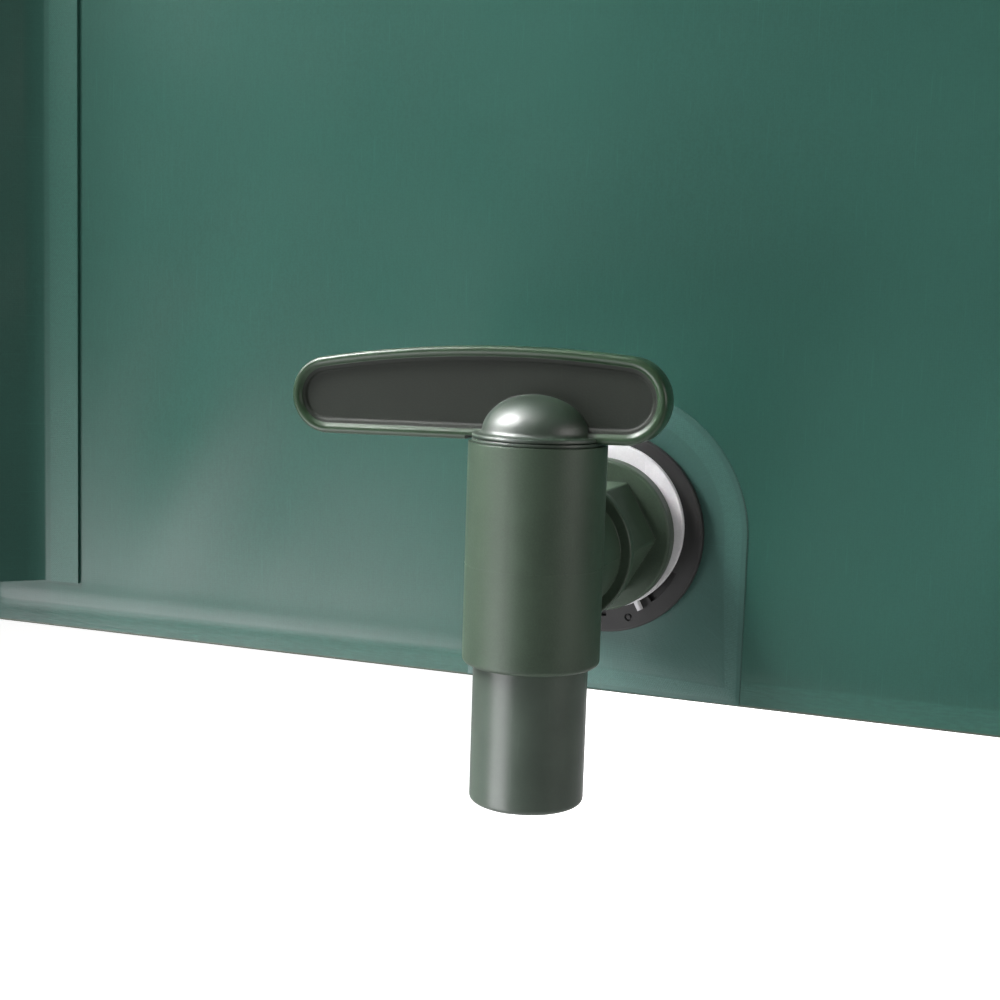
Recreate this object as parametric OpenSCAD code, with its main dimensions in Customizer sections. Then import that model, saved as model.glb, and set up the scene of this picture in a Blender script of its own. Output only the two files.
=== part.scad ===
/* Collapsible fabric rain barrel: a six-sided coated-fabric bag held up by six
   poles in sleeves, with a zipped mesh lid, an overflow outlet and a lever tap
   in the front panel. The tap's outlet hangs below the bag's bottom edge, so
   the barrel stands on a raised stand in use. */

/* [Bag] */
// Width of the bag across opposite corners, where the flat panels would meet
across = 800; // [740:5:860]
// Height of the bag
height = 980; // [940:5:1020]
// Thickness of the coated fabric
fabric_t = 0.8; // [0.6:0.1:0.9]
// Outside radius of the bag's upright corners
corner_r = 14; // [10:1:18]
// Height of the welded band around the bottom
hem_h = 9; // [7:1:14]

/* [Poles] */
// Radius of a pole
pole_r = 12.5; // [10:0.5:13]
// Wall thickness of a pole
pole_wall = 2; // [1.5:0.5:3]
// Radial room around a pole inside its sleeve
sleeve_gap = 0.7; // [0.5:0.1:1]
// Width of each flap that welds a sleeve to its panel
sleeve_flap = 12; // [8:1:14]

/* [Lid] */
// Distance from the centre line of the zip to the middle of a panel
zip_inset = 43; // [40:1:60]
// Radius of the clear mesh in the middle of the lid
mesh_r = 175; // [130:5:185]
// Angle of the zip's ends from the back, seen from above
zip_end = 40; // [38:1:44]

/* [Tap] */
// Height of the tap's inlet axis above the bag's bottom edge
tap_z = 43.4; // [40:0.2:60]
// Distance from the front panel to the tap's upright axis
reach = 58; // [54:1:64]
// Radius of the tap's upright body
tap_r = 16; // [15.8:0.1:16.5]
// Outside radius of the turning plug's outlet
plug_r = 13.37; // [13.2:0.01:13.5]
// Height of the upright body above the inlet axis
tap_up = 27.55; // [26:0.05:29]
// Depth of the upright body below the inlet axis
tap_down = 23.66; // [22:0.02:25]
// Depth of the outlet's end below the inlet axis
outlet_down = 56.5; // [50:0.5:60]
// Radius of the flange that clamps the gasket
flange_r = 19.9; // [19:0.1:21]
// Corner radius of the spanner hexagon
hex_r = 16.2; // [16:0.1:17]
// Thickness of the lever's plate
lever_t = 7; // [6:0.5:8]

/* [Overflow] */
// Height of the overflow outlet's axis
overflow_z = 880; // [800:5:880]
// Outside radius of the hose spigot
spigot_r = 12.5; // [11.5:0.5:12.5]

/* [Hidden] */
$fn = 96;
lap = 0.05;             // air left between two layers that lie on each other
sides = 6;
half_side = 180 / sides;
apothem = across / 2 * cos(half_side);

// bag
inner_face = apothem - fabric_t;
seam_w = 25;
seam_x = 95;
cap_sheet_skirt = 18;
skirt_t = fabric_t;

// sleeves and poles
wall_tip = (apothem - corner_r) / cos(half_side) + corner_r;
pole_gap = 1.6;
pole_at = wall_tip + pole_gap + pole_r;
sleeve_in = pole_r + sleeve_gap;
sleeve_out = sleeve_in + fabric_t;
sleeve_z0 = 14;
sleeve_z1 = height - 32;
sleeve_foot = 24;       // from the nominal corner to where a sleeve leaves its panel
sleeve_turn = 3;        // overlap where the sleeve's side turns into its flap
pole_z0 = sleeve_z0 + fabric_t + 0.2;
pole_z1 = height - 10;
cap_t = 2;
cap_plug_h = 12;
pole_bore = pole_r - pole_wall;

// lid and zip, upwards from the tapes
zip_r = apothem - zip_inset;
top_z = height;
sheet_z = top_z - fabric_t;
tape_t = 0.8;
tape_z = sheet_z - lap - tape_t;
tape_w = 20;
coil_gap = 0.2;
coil_w = 3.2;
coil_h = 2;
coil_z = tape_z + tape_t;
lid_edge_gap = 10;
hinge_past = 5;         // the fold lies this far behind the zip's ends
hinge_y = (zip_r - coil_gap) * cos(zip_end) + hinge_past;
hinge_gap = 1.5;
hinge_lap = 11;
hinge_drop = 0.15;
trim_w = 12;
trim_t = 0.9;
mesh_t = 0.6;
mesh_lap = 9;
lid_r = zip_r - lid_edge_gap;
opening_r = zip_r + lid_edge_gap;
hinge_half = sqrt(lid_r * lid_r - hinge_y * hinge_y) - 1;
stop_len = 5;
stop_set = 0.5;
stop_t = 0.8;

// slider and pull tab
slide_a0 = zip_end + 10;
slider_w = 13;
slider_l = 17;
slider_plate = 1.3;
slider_z = coil_z + coil_h + 0.25;
rail_clear = 0.4;
rail_w = 1.5;
rail_l = 13;
bridge_pin_r = 1.1;
bridge_w = 2.6;
bridge_t = 1.4;
bridge_half = 4.2;
bridge_at = 5;
tab_l = 34;
tab_w = 8;
tab_t = 1.6;
tab_hole_r = 2;
pin_clear = 0.08;
tab_eye_r = bridge_pin_r + pin_clear + 1;
pin_z = slider_z + slider_plate + tab_eye_r + 0.25;

// tap, outwards from the panel's outer face
patch_r = 38;
patch_t = 0.5;
gasket_r = 26.8;
gasket_t = 2.4;
washer_r = 22;
washer_bore = 15.4;
washer_t = 1.95;
washer_shift = 1.9;
gate_a = -62;           // stub left where the washer was cut from its moulding runner
gate_w = 1.1;
gate_l = 2.4;
slot_count = 6;         // shallow locating slots in the gasket's face
slot_a0 = -51;
slot_span = 26;
slot_r0 = 20;
slot_r1 = 22.4;
slot_d = 1.2;
dimple_a = -70;
dimple_at = 23.5;
dimple_r = 1;
dimple_d = 0.4;
tail_r = 13.2;
inlet_bore = 9;
tail_in = 18;
hole_r = tail_r + 0.4;
gasket_o0 = lap + patch_t + lap;
washer_o0 = gasket_o0 + gasket_t + lap;
flange_o0 = washer_o0 + washer_t + lap;
flange_o1 = 10;
hex_o1 = 36;
collar_o1 = 39;
collar_r = 17.9;
boss_r = 15.2;
bore_gap = 0.08;
rotor_r = plug_r + 0.25; // inside the housing the plug is a little larger than its outlet
plug_bore = 10.4;
plug_solid_h = 10;
window_r = 8;
head_r = 15.2;
head_lift = 0.1;
head_t = 0.75;
ring_at = 16;
ring_groove_w = 2;
ring_groove_d = 1.45;
ring_sec = 0.7;
drive_w = 10;
drive_h = 7;
edge_round = 1.2;
edge_steps = 4;
fin = 0.07;             // height, thickness and level of the mould's parting line
fin_t = 0.12;
fin_z = -0.5;
fin_start = 0.4;
hex_cut = 0.15;
inner_gasket_r = 23;
inner_gasket_t = 2.5;
nut_flange_r = 24;
nut_flange_t = 2;
nut_hex_r = 21.5;
nut_hex_t = 7;

// lever, measured from the inlet axis: two round ends joined by an arch
lever_small = [-52.3, 36.0];
lever_small_r = 9.1;
lever_big = [20.8, 38.2];
lever_big_r = 9.9;
lever_arch_r = 285;
lever_rim = 2.3;
lever_step = 1.1;
lever_step_d = 0.5;
lever_panel_d = 1.2;
lever_steps = 24;
hub_r = 13;
hub_h = 10.3;
hub_z = 28.5;
hub_disc_t = 1.0;
hub_notch_r = tap_r + 0.9;

// overflow outlet, outwards from its panel
overflow_az = -30;
overflow_patch_r = 34;
overflow_flange_r = 21;
overflow_flange_o1 = 7;
overflow_gasket_t = 2;
overflow_neck_r = 14.5;
overflow_neck_o1 = 14;
overflow_end = 52;
spigot_bore = 9.5;
spigot_lead = 2;
groove_o0 = 38;
groove_pitch = 5;
groove_count = 2;
groove_w = 2;
groove_d = 0.8;

fabric_green = [0.23, 0.39, 0.35];
fabric_patch = [0.25, 0.41, 0.37];
fabric_inside = [0.20, 0.34, 0.31];
moulded_green = [0.16, 0.21, 0.16];
rubber_black = [0.10, 0.10, 0.10];
nylon_white = [0.93, 0.93, 0.91];
pole_white = [0.88, 0.88, 0.86];
cap_grey = [0.35, 0.36, 0.36];
mesh_black = [0.08, 0.08, 0.08];
zip_black = [0.07, 0.07, 0.07];
slider_metal = [0.62, 0.62, 0.63];

// ---- shared shapes ----

// Six-sided outline with rounded corners: in_r is the distance to each side
module bag_outline(in_r, round_r) {
  mid = (in_r - round_r) / cos(half_side);
  polygon([for (i = [0 : sides - 1]) for (s = [-half_side, half_side])
    let (a = i * 360 / sides)
      [mid * cos(a) + round_r * cos(a + s), mid * sin(a) + round_r * sin(a + s)]]);
  for (i = [0 : sides - 1])
    rotate(i * 360 / sides) translate([mid, 0]) circle(r = round_r);
}

// Children drawn as seen from outside: x right, y up, z outwards from a panel
module on_panel(az, z0) {
  rotate([0, 0, az + 90]) translate([0, -apothem, z0]) rotate([90, 0, 0]) children();
}

module ring(r_out, r_in, z0, z1) {
  difference() {
    translate([0, 0, z0]) cylinder(r = r_out, h = z1 - z0);
    translate([0, 0, z0 - 1]) cylinder(r = r_in, h = z1 - z0 + 2);
  }
}

function quarter(c, r, a0, n) =
  [for (i = [0 : n]) [c[0] + r * cos(a0 + 90 * i / n), c[1] + r * sin(a0 + 90 * i / n)]];

// Disc from z0 to z1 whose lower and upper outside edges are rounded by e0 and e1
module round_disc(r, z0, z1, e0, e1) {
  rotate_extrude() polygon(concat([[0, z0]], quarter([r - e0, z0 + e0], e0, -90, edge_steps),
    quarter([r - e1, z1 - e1], e1, 0, edge_steps), [[0, z1]]));
}

module at_corner(i) {
  rotate([0, 0, i * 360 / sides]) children();
}

// ---- bag ----

module wall() {
  color(fabric_green) {
    difference() {
      linear_extrude(height = height) difference() {
        bag_outline(apothem, corner_r);
        bag_outline(inner_face, corner_r - fabric_t);
      }
      on_panel(-90, tap_z) translate([0, 0, -6]) cylinder(r = hole_r, h = 12);
      on_panel(overflow_az, overflow_z) translate([0, 0, -6]) cylinder(r = hole_r, h = 12);
    }
    translate([-seam_x - seam_w, apothem - 0.01, hem_h])
      cube([seam_w, fabric_t + 0.01, height - hem_h - cap_sheet_skirt - 3]);
  }
}

module base_sheet() {
  color(fabric_inside) {
    linear_extrude(height = fabric_t) bag_outline(inner_face - lap, corner_r - fabric_t - lap);
    linear_extrude(height = hem_h) difference() {
      bag_outline(inner_face - lap, corner_r - fabric_t - lap);
      bag_outline(inner_face - lap - fabric_t, corner_r - 2 * fabric_t - lap);
    }
  }
}

module top_sheet() {
  color(fabric_green) {
    translate([0, 0, sheet_z]) linear_extrude(height = fabric_t) difference() {
      bag_outline(inner_face - lap, corner_r - fabric_t - lap);
      intersection() {
        circle(r = opening_r);
        translate([-across, -2 * across]) square([2 * across, 2 * across + hinge_y + hinge_gap]);
      }
    }
    translate([0, 0, top_z - cap_sheet_skirt]) linear_extrude(height = cap_sheet_skirt) difference() {
      bag_outline(inner_face - lap, corner_r - fabric_t - lap);
      bag_outline(inner_face - lap - skirt_t, corner_r - fabric_t - lap - skirt_t);
    }
  }
}

// ---- sleeves and poles ----

// Point on the offset face of the panel beside a corner, dist back from the nominal corner
function panel_pt(dist, off) =
  let (n = [cos(half_side), sin(half_side)], t = [-sin(half_side), cos(half_side)])
    [across / 2, 0] + dist * t + off * n;

// Where the line from p touches the pole-side circle of radius r
function touch_pt(p, r) =
  let (d = p - [pole_at, 0], l = norm(d), a = atan2(d[1], d[0]) - acos(r / l))
    [pole_at + r * cos(a), r * sin(a)];

module tent(off, r) {
  p = panel_pt(sleeve_foot, off);
  t = touch_pt(p, r);
  polygon([p, [p[0], -p[1]], [t[0], -t[1]], [pole_at, 0], t]);
  translate([pole_at, 0]) circle(r = r);
}

module sleeve_flap_shape() {
  a = panel_pt(sleeve_foot - sleeve_turn, lap);
  b = panel_pt(sleeve_foot - sleeve_turn, lap + fabric_t);
  c = panel_pt(sleeve_foot + sleeve_flap, lap + fabric_t);
  d = panel_pt(sleeve_foot + sleeve_flap, lap);
  polygon([a, b, c, d]);
}

module sleeve() {
  translate([0, 0, sleeve_z0]) linear_extrude(height = sleeve_z1 - sleeve_z0) {
    difference() {
      tent(lap + fabric_t, sleeve_out);
      tent(lap, sleeve_in);
    }
    sleeve_flap_shape();
    mirror([0, 1]) sleeve_flap_shape();
  }
  translate([0, 0, sleeve_z0]) linear_extrude(height = fabric_t) difference() {
    tent(lap + fabric_t, sleeve_out);
    bag_outline(apothem + lap, corner_r + lap);
  }
}

module pole_sleeves() {
  color(fabric_green) for (i = [0 : sides - 1]) at_corner(i) sleeve();
}

module pole(i) {
  color(pole_white) at_corner(i) translate([pole_at, 0, 0])
    ring(pole_r, pole_bore, pole_z0 + cap_t, pole_z1 - cap_t);
}

module pole_caps(i) {
  color(cap_grey) at_corner(i) translate([pole_at, 0, 0]) {
    round_disc(pole_r, pole_z0, pole_z0 + cap_t - lap, 1.2, 0.1);
    translate([0, 0, pole_z0 + 0.5]) cylinder(r = pole_bore - lap, h = cap_t + cap_plug_h);
    round_disc(pole_r, pole_z1 - cap_t + lap, pole_z1, 0.1, 1.2);
    translate([0, 0, pole_z1 - cap_t - cap_plug_h - 0.5])
      cylinder(r = pole_bore - lap, h = cap_t + cap_plug_h);
  }
}

module pole_1() { pole(0); }
module pole_2() { pole(1); }
module pole_3() { pole(2); }
module pole_4() { pole(3); }
module pole_5() { pole(4); }
module pole_6() { pole(5); }
module pole_caps_1() { pole_caps(0); }
module pole_caps_2() { pole_caps(1); }
module pole_caps_3() { pole_caps(2); }
module pole_caps_4() { pole_caps(3); }
module pole_caps_5() { pole_caps(4); }
module pole_caps_6() { pole_caps(5); }

// ---- lid ----

// Keeps only what lies in front of the lid's hinge line
module before_hinge(back) {
  intersection() {
    children();
    translate([-across, -2 * across, 0])
      cube([2 * across, 2 * across + hinge_y - back, 2 * height]);
  }
}

module lid_panel() {
  color(fabric_green) before_hinge(0) ring(lid_r, mesh_r, sheet_z, top_z);
}

module lid_mesh() {
  color(mesh_black) translate([0, 0, sheet_z - lap - mesh_t])
    cylinder(r = mesh_r + mesh_lap, h = mesh_t);
}

module mesh_trim() {
  color(zip_black) ring(mesh_r + trim_w, mesh_r, top_z + lap, top_z + lap + trim_t);
}

module lid_hinge_strip() {
  color(fabric_green) translate([-hinge_half, hinge_y - hinge_lap, tape_z - hinge_drop])
    cube([2 * hinge_half, 2 * hinge_lap + hinge_gap, tape_t]);
}

// Arc of a ring section about the upright axis, from the zip's first end to its last
module zip_arc(r0, r1, z0, z1, end) {
  rotate([0, 0, 90 + end]) rotate_extrude(angle = 360 - 2 * end)
    translate([r0, z0]) square([r1 - r0, z1 - z0]);
}

module zip_tape_bag() {
  color(zip_black) {
    zip_arc(zip_r + coil_gap, zip_r + coil_gap + tape_w, tape_z, coil_z, zip_end);
    zip_arc(zip_r + coil_gap, zip_r + coil_gap + coil_w, tape_z, coil_z + coil_h, zip_end);
  }
}

module zip_tape_lid() {
  color(zip_black) {
    zip_arc(zip_r - coil_gap - tape_w, zip_r - coil_gap, tape_z, coil_z, zip_end);
    zip_arc(zip_r - coil_gap - coil_w, zip_r - coil_gap, tape_z, coil_z + coil_h, zip_end);
  }
}

module zip_stops() {
  color(slider_metal) for (s = [-1, 1]) rotate([0, 0, 90 + s * (zip_end + 1.2)])
    translate([zip_r + coil_gap + stop_set, -stop_len / 2, coil_z + coil_h + lap])
      cube([coil_w - stop_set, stop_len, stop_t]);
}

// Children drawn at the slider: x outwards across the zip, y along it towards the lid's fold
module at_slider() {
  rotate([0, 0, 90 - slide_a0]) translate([zip_r, 0, 0]) children();
}

// The slider's shield shape: narrower on the side where the zip is meshed
module slider_plan() {
  w = slider_w / 2;
  l = slider_l / 2;
  right = [[w - 2, -l], [w, -l + 3], [w, 1], [w - 1.2, l]];
  left = [[1.2 - w, l], [-w, 1], [-w, -l + 3], [2 - w, -l]];
  polygon(concat(right, left));
}

module zip_slider() {
  side = coil_gap + coil_w + rail_clear;
  color(slider_metal) at_slider() {
    translate([0, 0, slider_z]) linear_extrude(height = slider_plate) slider_plan();
    for (s = [0, 1]) mirror([s, 0, 0])
      translate([side, rail_l / -2, coil_z + rail_clear])
        cube([rail_w, rail_l, slider_z - coil_z - rail_clear]);
    for (s = [0, 1]) mirror([s, 0, 0])
      translate([bridge_half, bridge_at - bridge_w / 2, slider_z])
        cube([bridge_t, bridge_w, pin_z - slider_z + bridge_pin_r]);
    translate([-bridge_half - bridge_t / 2, bridge_at, pin_z])
      rotate([0, 90, 0]) cylinder(r = bridge_pin_r, h = 2 * bridge_half + bridge_t);
  }
}

module zip_pull_tab() {
  color(slider_metal) at_slider() translate([0, bridge_at, pin_z]) difference() {
    union() {
      rotate([0, 90, 0]) cylinder(r = tab_eye_r, h = tab_w, center = true);
      translate([-tab_w / 2, tab_w / 2 - tab_l, -tab_t / 2]) cube([tab_w, tab_l - tab_w / 2, tab_t]);
      translate([0, tab_w / 2 - tab_l, -tab_t / 2]) cylinder(r = tab_w / 2, h = tab_t);
    }
    rotate([0, 90, 0]) cylinder(r = bridge_pin_r + pin_clear, h = tab_w + 2, center = true);
    translate([0, tab_w / 2 - tab_l, -tab_t]) cylinder(r = tab_hole_r, h = 2 * tab_t);
  }
}

// ---- tap ----

module tap_patch() {
  color(fabric_patch) on_panel(-90, tap_z) translate([0, 0, lap])
    linear_extrude(height = patch_t) difference() {
      union() {
        circle(r = patch_r);
        translate([-patch_r, -tap_z + 0.3]) square([2 * patch_r, tap_z - 0.3]);
      }
      circle(r = hole_r);
    }
}

module tap_gasket_outer() {
  top = gasket_o0 + gasket_t;
  color(rubber_black) on_panel(-90, tap_z) difference() {
    round_disc(gasket_r, gasket_o0, top, 0.3, 0.7);
    translate([0, 0, gasket_o0 - 1]) cylinder(r = tail_r + lap, h = gasket_t + 2);
    for (i = [0 : slot_count - 1])
      rotate([0, 0, slot_a0 - i * 360 / slot_count]) rotate_extrude(angle = slot_span)
        translate([slot_r0, top - slot_d]) square([slot_r1 - slot_r0, slot_d + 1]);
    rotate([0, 0, dimple_a]) translate([dimple_at, 0, top - dimple_d])
      ring(dimple_r, dimple_r - 0.4, 0, dimple_d + 1);
  }
}

module tap_washer() {
  color(nylon_white) on_panel(-90, tap_z) translate([0, washer_shift, washer_o0])
    linear_extrude(height = washer_t) difference() {
      union() {
        circle(r = washer_r);
        rotate(gate_a) translate([0, -gate_w / 2]) square([washer_r + gate_l, gate_w]);
      }
      circle(r = washer_bore);
    }
}

// Thin fin that the mould's parting plane leaves, seen from above
module parting_fin() {
  flange_in = flange_o0 + fin_start;
  collar_in = hex_o1 + fin_start;
  translate([-flange_r - fin, flange_in]) square([2 * (flange_r + fin), flange_o1 + fin - flange_in]);
  translate([-collar_r - fin, collar_in]) square([2 * (collar_r + fin), collar_o1 + fin - collar_in]);
  translate([-boss_r - fin, collar_o1]) square([2 * (boss_r + fin), reach - collar_o1]);
  translate([0, reach]) circle(r = tap_r + fin);
}

module tap_housing() {
  bore = rotor_r + bore_gap;
  rnd = edge_round;
  color(moulded_green) on_panel(-90, tap_z) difference() {
    union() {
      translate([0, 0, -tail_in]) cylinder(r = tail_r, h = tail_in + flange_o0 + 1);
      round_disc(flange_r, flange_o0, flange_o1, 0.3, 0.8);
      intersection() {
        translate([0, 0, flange_o0]) cylinder(r = hex_r + hex_cut, h = hex_o1 - flange_o0, $fn = 6);
        translate([0, 0, flange_o0]) cylinder(r = hex_r, h = hex_o1 - flange_o0);
      }
      round_disc(collar_r, hex_o1, collar_o1, 0.5, 0.5);
      translate([0, fin_z - fin_t / 2, 0]) rotate([-90, 0, 0]) linear_extrude(height = fin_t)
        mirror([0, 1]) parting_fin();
      translate([0, 0, collar_o1]) cylinder(r = boss_r, h = reach - collar_o1);
      translate([0, 0, reach]) rotate([-90, 0, 0])
        rotate_extrude() polygon(concat([[0, tap_up], [0, -tap_down]],
          quarter([tap_r - rnd, -tap_down + rnd], rnd, -90, 6), [[tap_r, tap_up]]));
    }
    translate([0, 0, -tail_in - 1]) cylinder(r = inlet_bore, h = reach + tail_in + 1);
    translate([0, 0, reach]) rotate([-90, 0, 0]) translate([0, 0, -tap_down - 5])
      cylinder(r = bore, h = tap_up + tap_down + 10);
  }
}

module tap_gasket_inner() {
  color(rubber_black) on_panel(-90, tap_z)
    ring(inner_gasket_r, tail_r + lap, -fabric_t - lap - inner_gasket_t, -fabric_t - lap);
}

module back_nut(u) {
  difference() {
    union() {
      translate([0, 0, u - nut_flange_t]) cylinder(r = nut_flange_r, h = nut_flange_t);
      translate([0, 0, u - nut_flange_t - nut_hex_t]) cylinder(r = nut_hex_r, h = nut_hex_t, $fn = 6);
    }
    translate([0, 0, u - nut_flange_t - nut_hex_t - 1])
      cylinder(r = tail_r + lap, h = nut_flange_t + nut_hex_t + 2);
  }
}

module tap_back_nut() {
  color(moulded_green) on_panel(-90, tap_z) back_nut(-fabric_t - 2 * lap - inner_gasket_t);
}

// Children drawn on the tap's upright axis, z from the inlet axis
module at_tap_axis() {
  translate([0, -apothem - reach, tap_z]) children();
}

module tap_plug() {
  color(moulded_green) at_tap_axis() {
    difference() {
      union() {
        rotate_extrude() polygon(concat([[0, -outlet_down], [plug_bore - 0.5, -outlet_down]],
          quarter([plug_r - edge_round, -outlet_down + edge_round], edge_round, -90, 6),
          [[plug_r, -tap_down - lap], [rotor_r, -tap_down - lap],
           [rotor_r, tap_up + head_lift], [head_r, tap_up + head_lift],
           [head_r, tap_up + head_lift + head_t], [0, tap_up + head_lift + head_t]]));
        translate([-drive_w / 2, -drive_w / 2, tap_up + head_lift])
          cube([drive_w, drive_w, head_t + drive_h]);
      }
      translate([0, 0, -outlet_down - 1]) cylinder(r = plug_bore, h = outlet_down + plug_solid_h + 1);
      rotate([0, 90, 0]) cylinder(r = window_r, h = rotor_r + 2);
      for (s = [-1, 1]) translate([0, 0, s * ring_at - ring_groove_w / 2])
        ring(rotor_r + 1, rotor_r - ring_groove_d, 0, ring_groove_w);
    }
  }
}

module tap_seal_rings() {
  mid = rotor_r + (bore_gap - ring_groove_d) / 2;
  color(rubber_black) at_tap_axis() for (s = [-1, 1]) translate([0, 0, s * ring_at])
    rotate_extrude() translate([mid, 0]) circle(r = ring_sec);
}

// Centre of the arch that both of the lever's round ends touch from inside
function arch_centre() =
  let (d = lever_big - lever_small, l = norm(d),
       a = lever_arch_r - lever_small_r, b = lever_arch_r - lever_big_r,
       x = (l * l + a * a - b * b) / (2 * l), y = sqrt(a * a - x * x), e = d / l)
    lever_small + x * e + y * [e[1], -e[0]];

function ang(v) = atan2(v[1], v[0]);
function arc_pts(c, r, a0, a1, n) =
  [for (i = [0 : n]) let (a = a0 + (a1 - a0) * i / n) c + r * [cos(a), sin(a)]];

function lever_pts(inset) =
  let (c = arch_centre(),
       a_small = ang(lever_small - c), a_big = ang(lever_big - c),
       d = lever_big - lever_small,
       low = ang(d) - 90 + asin((lever_big_r - lever_small_r) / norm(d)))
    concat(arc_pts(lever_big, lever_big_r - inset, low, a_big, lever_steps),
           arc_pts(c, lever_arch_r - inset, a_big, a_small, lever_steps),
           arc_pts(lever_small, lever_small_r - inset, a_small, low + 360, lever_steps));

module lever_plate(inset, y0, y1) {
  translate([0, y1, 0]) rotate([90, 0, 0]) linear_extrude(height = y1 - y0)
    polygon(lever_pts(inset));
}

module tap_lever() {
  half = lever_t / 2;
  color(moulded_green) at_tap_axis() difference() {
    union() {
      difference() {
        lever_plate(0, -half, half);
        for (s = [0, 1]) mirror([0, s, 0]) {
          lever_plate(lever_rim, half - lever_step_d, half + 1);
          lever_plate(lever_rim + lever_step, half - lever_panel_d, half + 1);
        }
      }
      translate([0, 0, hub_z]) cylinder(r = head_r, h = hub_disc_t);
      translate([0, 0, hub_z + hub_disc_t]) rotate_extrude()
        polygon(concat([[0, 0]], [for (i = [0 : 12])
          [hub_r * cos(7.5 * i), (hub_h - hub_disc_t) * sin(7.5 * i)]]));
    }
    cylinder(r = hub_notch_r, h = hub_z);
    translate([-drive_w / 2 - lap, -drive_w / 2 - lap, hub_z - 1])
      cube([drive_w + 2 * lap, drive_w + 2 * lap, drive_h + 1]);
  }
}

// ---- overflow ----

module overflow_patch() {
  color(fabric_patch) on_panel(overflow_az, overflow_z)
    ring(overflow_patch_r, hole_r, lap, lap + patch_t);
}

module overflow_gasket_outer() {
  color(rubber_black) on_panel(overflow_az, overflow_z)
    ring(overflow_flange_r + 2, tail_r + lap, gasket_o0, gasket_o0 + overflow_gasket_t);
}

module overflow_fitting() {
  o0 = gasket_o0 + overflow_gasket_t + lap;
  color(moulded_green) on_panel(overflow_az, overflow_z) difference() {
    union() {
      translate([0, 0, -tail_in]) cylinder(r = tail_r, h = tail_in + o0 + 1);
      round_disc(overflow_flange_r, o0, overflow_flange_o1, 0.3, 0.8);
      translate([0, 0, o0]) cylinder(r = overflow_neck_r, h = overflow_neck_o1 - o0, $fn = 6);
      translate([0, 0, o0]) cylinder(r = spigot_r, h = overflow_end - spigot_lead - o0);
      translate([0, 0, overflow_end - spigot_lead])
        cylinder(r1 = spigot_r, r2 = spigot_r - spigot_lead / 2, h = spigot_lead);
    }
    for (i = [0 : groove_count - 1])
      translate([0, 0, groove_o0 + i * groove_pitch])
        ring(spigot_r + 1, spigot_r - groove_d, 0, groove_w);
    translate([0, 0, -tail_in - 1]) cylinder(r = spigot_bore, h = tail_in + overflow_end + 2);
  }
}

module overflow_gasket_inner() {
  color(rubber_black) on_panel(overflow_az, overflow_z)
    ring(inner_gasket_r, tail_r + lap, -fabric_t - lap - inner_gasket_t, -fabric_t - lap);
}

module overflow_back_nut() {
  color(moulded_green) on_panel(overflow_az, overflow_z) back_nut(-fabric_t - 2 * lap - inner_gasket_t);
}

wall();
base_sheet();
top_sheet();
pole_sleeves();
pole_1();
pole_2();
pole_3();
pole_4();
pole_5();
pole_6();
pole_caps_1();
pole_caps_2();
pole_caps_3();
pole_caps_4();
pole_caps_5();
pole_caps_6();
lid_panel();
lid_mesh();
mesh_trim();
lid_hinge_strip();
zip_tape_bag();
zip_tape_lid();
zip_stops();
zip_slider();
zip_pull_tab();
tap_patch();
tap_gasket_outer();
tap_washer();
tap_housing();
tap_gasket_inner();
tap_back_nut();
tap_plug();
tap_seal_rings();
tap_lever();
overflow_patch();
overflow_gasket_outer();
overflow_fitting();
overflow_gasket_inner();
overflow_back_nut();
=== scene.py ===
import math
import bpy
import bmesh
from mathutils import Matrix, Vector, noise


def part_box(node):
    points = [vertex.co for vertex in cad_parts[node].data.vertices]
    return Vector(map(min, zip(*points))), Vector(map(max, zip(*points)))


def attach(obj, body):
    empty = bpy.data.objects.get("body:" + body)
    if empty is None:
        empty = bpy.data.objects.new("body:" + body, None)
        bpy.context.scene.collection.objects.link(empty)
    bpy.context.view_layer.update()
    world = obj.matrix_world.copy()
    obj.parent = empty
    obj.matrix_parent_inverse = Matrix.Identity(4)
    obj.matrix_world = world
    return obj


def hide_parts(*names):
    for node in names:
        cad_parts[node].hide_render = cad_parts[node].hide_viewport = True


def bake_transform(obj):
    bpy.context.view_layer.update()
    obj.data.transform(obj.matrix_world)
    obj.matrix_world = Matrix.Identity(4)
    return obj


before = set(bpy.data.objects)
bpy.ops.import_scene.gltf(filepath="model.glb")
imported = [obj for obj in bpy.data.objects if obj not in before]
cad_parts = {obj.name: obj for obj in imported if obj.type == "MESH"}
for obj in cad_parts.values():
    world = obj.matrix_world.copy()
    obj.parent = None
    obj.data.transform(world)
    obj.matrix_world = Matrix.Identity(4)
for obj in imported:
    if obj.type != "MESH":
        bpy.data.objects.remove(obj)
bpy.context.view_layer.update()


# ---------------------------------------------------------------- sizes, all in metres, from the frame
WALL_LO, WALL_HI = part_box("wall")
APOTHEM = -WALL_LO.y
TOP = WALL_HI.z
COS30 = math.cos(math.radians(30))
TAN30 = math.tan(math.radians(30))
CORNER_R = (APOTHEM / COS30 - WALL_HI.x) / (1 / COS30 - 1)
FLAT = (APOTHEM - CORNER_R) * TAN30
SIDE = 2 * FLAT + CORNER_R * math.pi / 3
LID_LO, LID_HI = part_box("lid_panel")
FABRIC = LID_HI.z - LID_LO.z
LAP = 0.00005
LID_R = -LID_LO.y
FOLD_Y = LID_HI.y
MESH_LO, MESH_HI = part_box("lid_mesh")
TRIM_LO, TRIM_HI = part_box("mesh_trim")
NET_R = MESH_HI.x
HOLE_LID = NET_R - 0.009
TAPE_LO, TAPE_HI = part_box("zip_tape_bag")
TAPE_Z0 = TAPE_LO.z
TAPE_Z1 = TAPE_Z0 + FABRIC
COIL_TOP = TAPE_HI.z
ZIP_R = LID_R + 0.010
OPENING_R = ZIP_R + 0.010
OPEN_Y = FOLD_Y + 0.0015
TAPE_OUT = TAPE_HI.x
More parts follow.
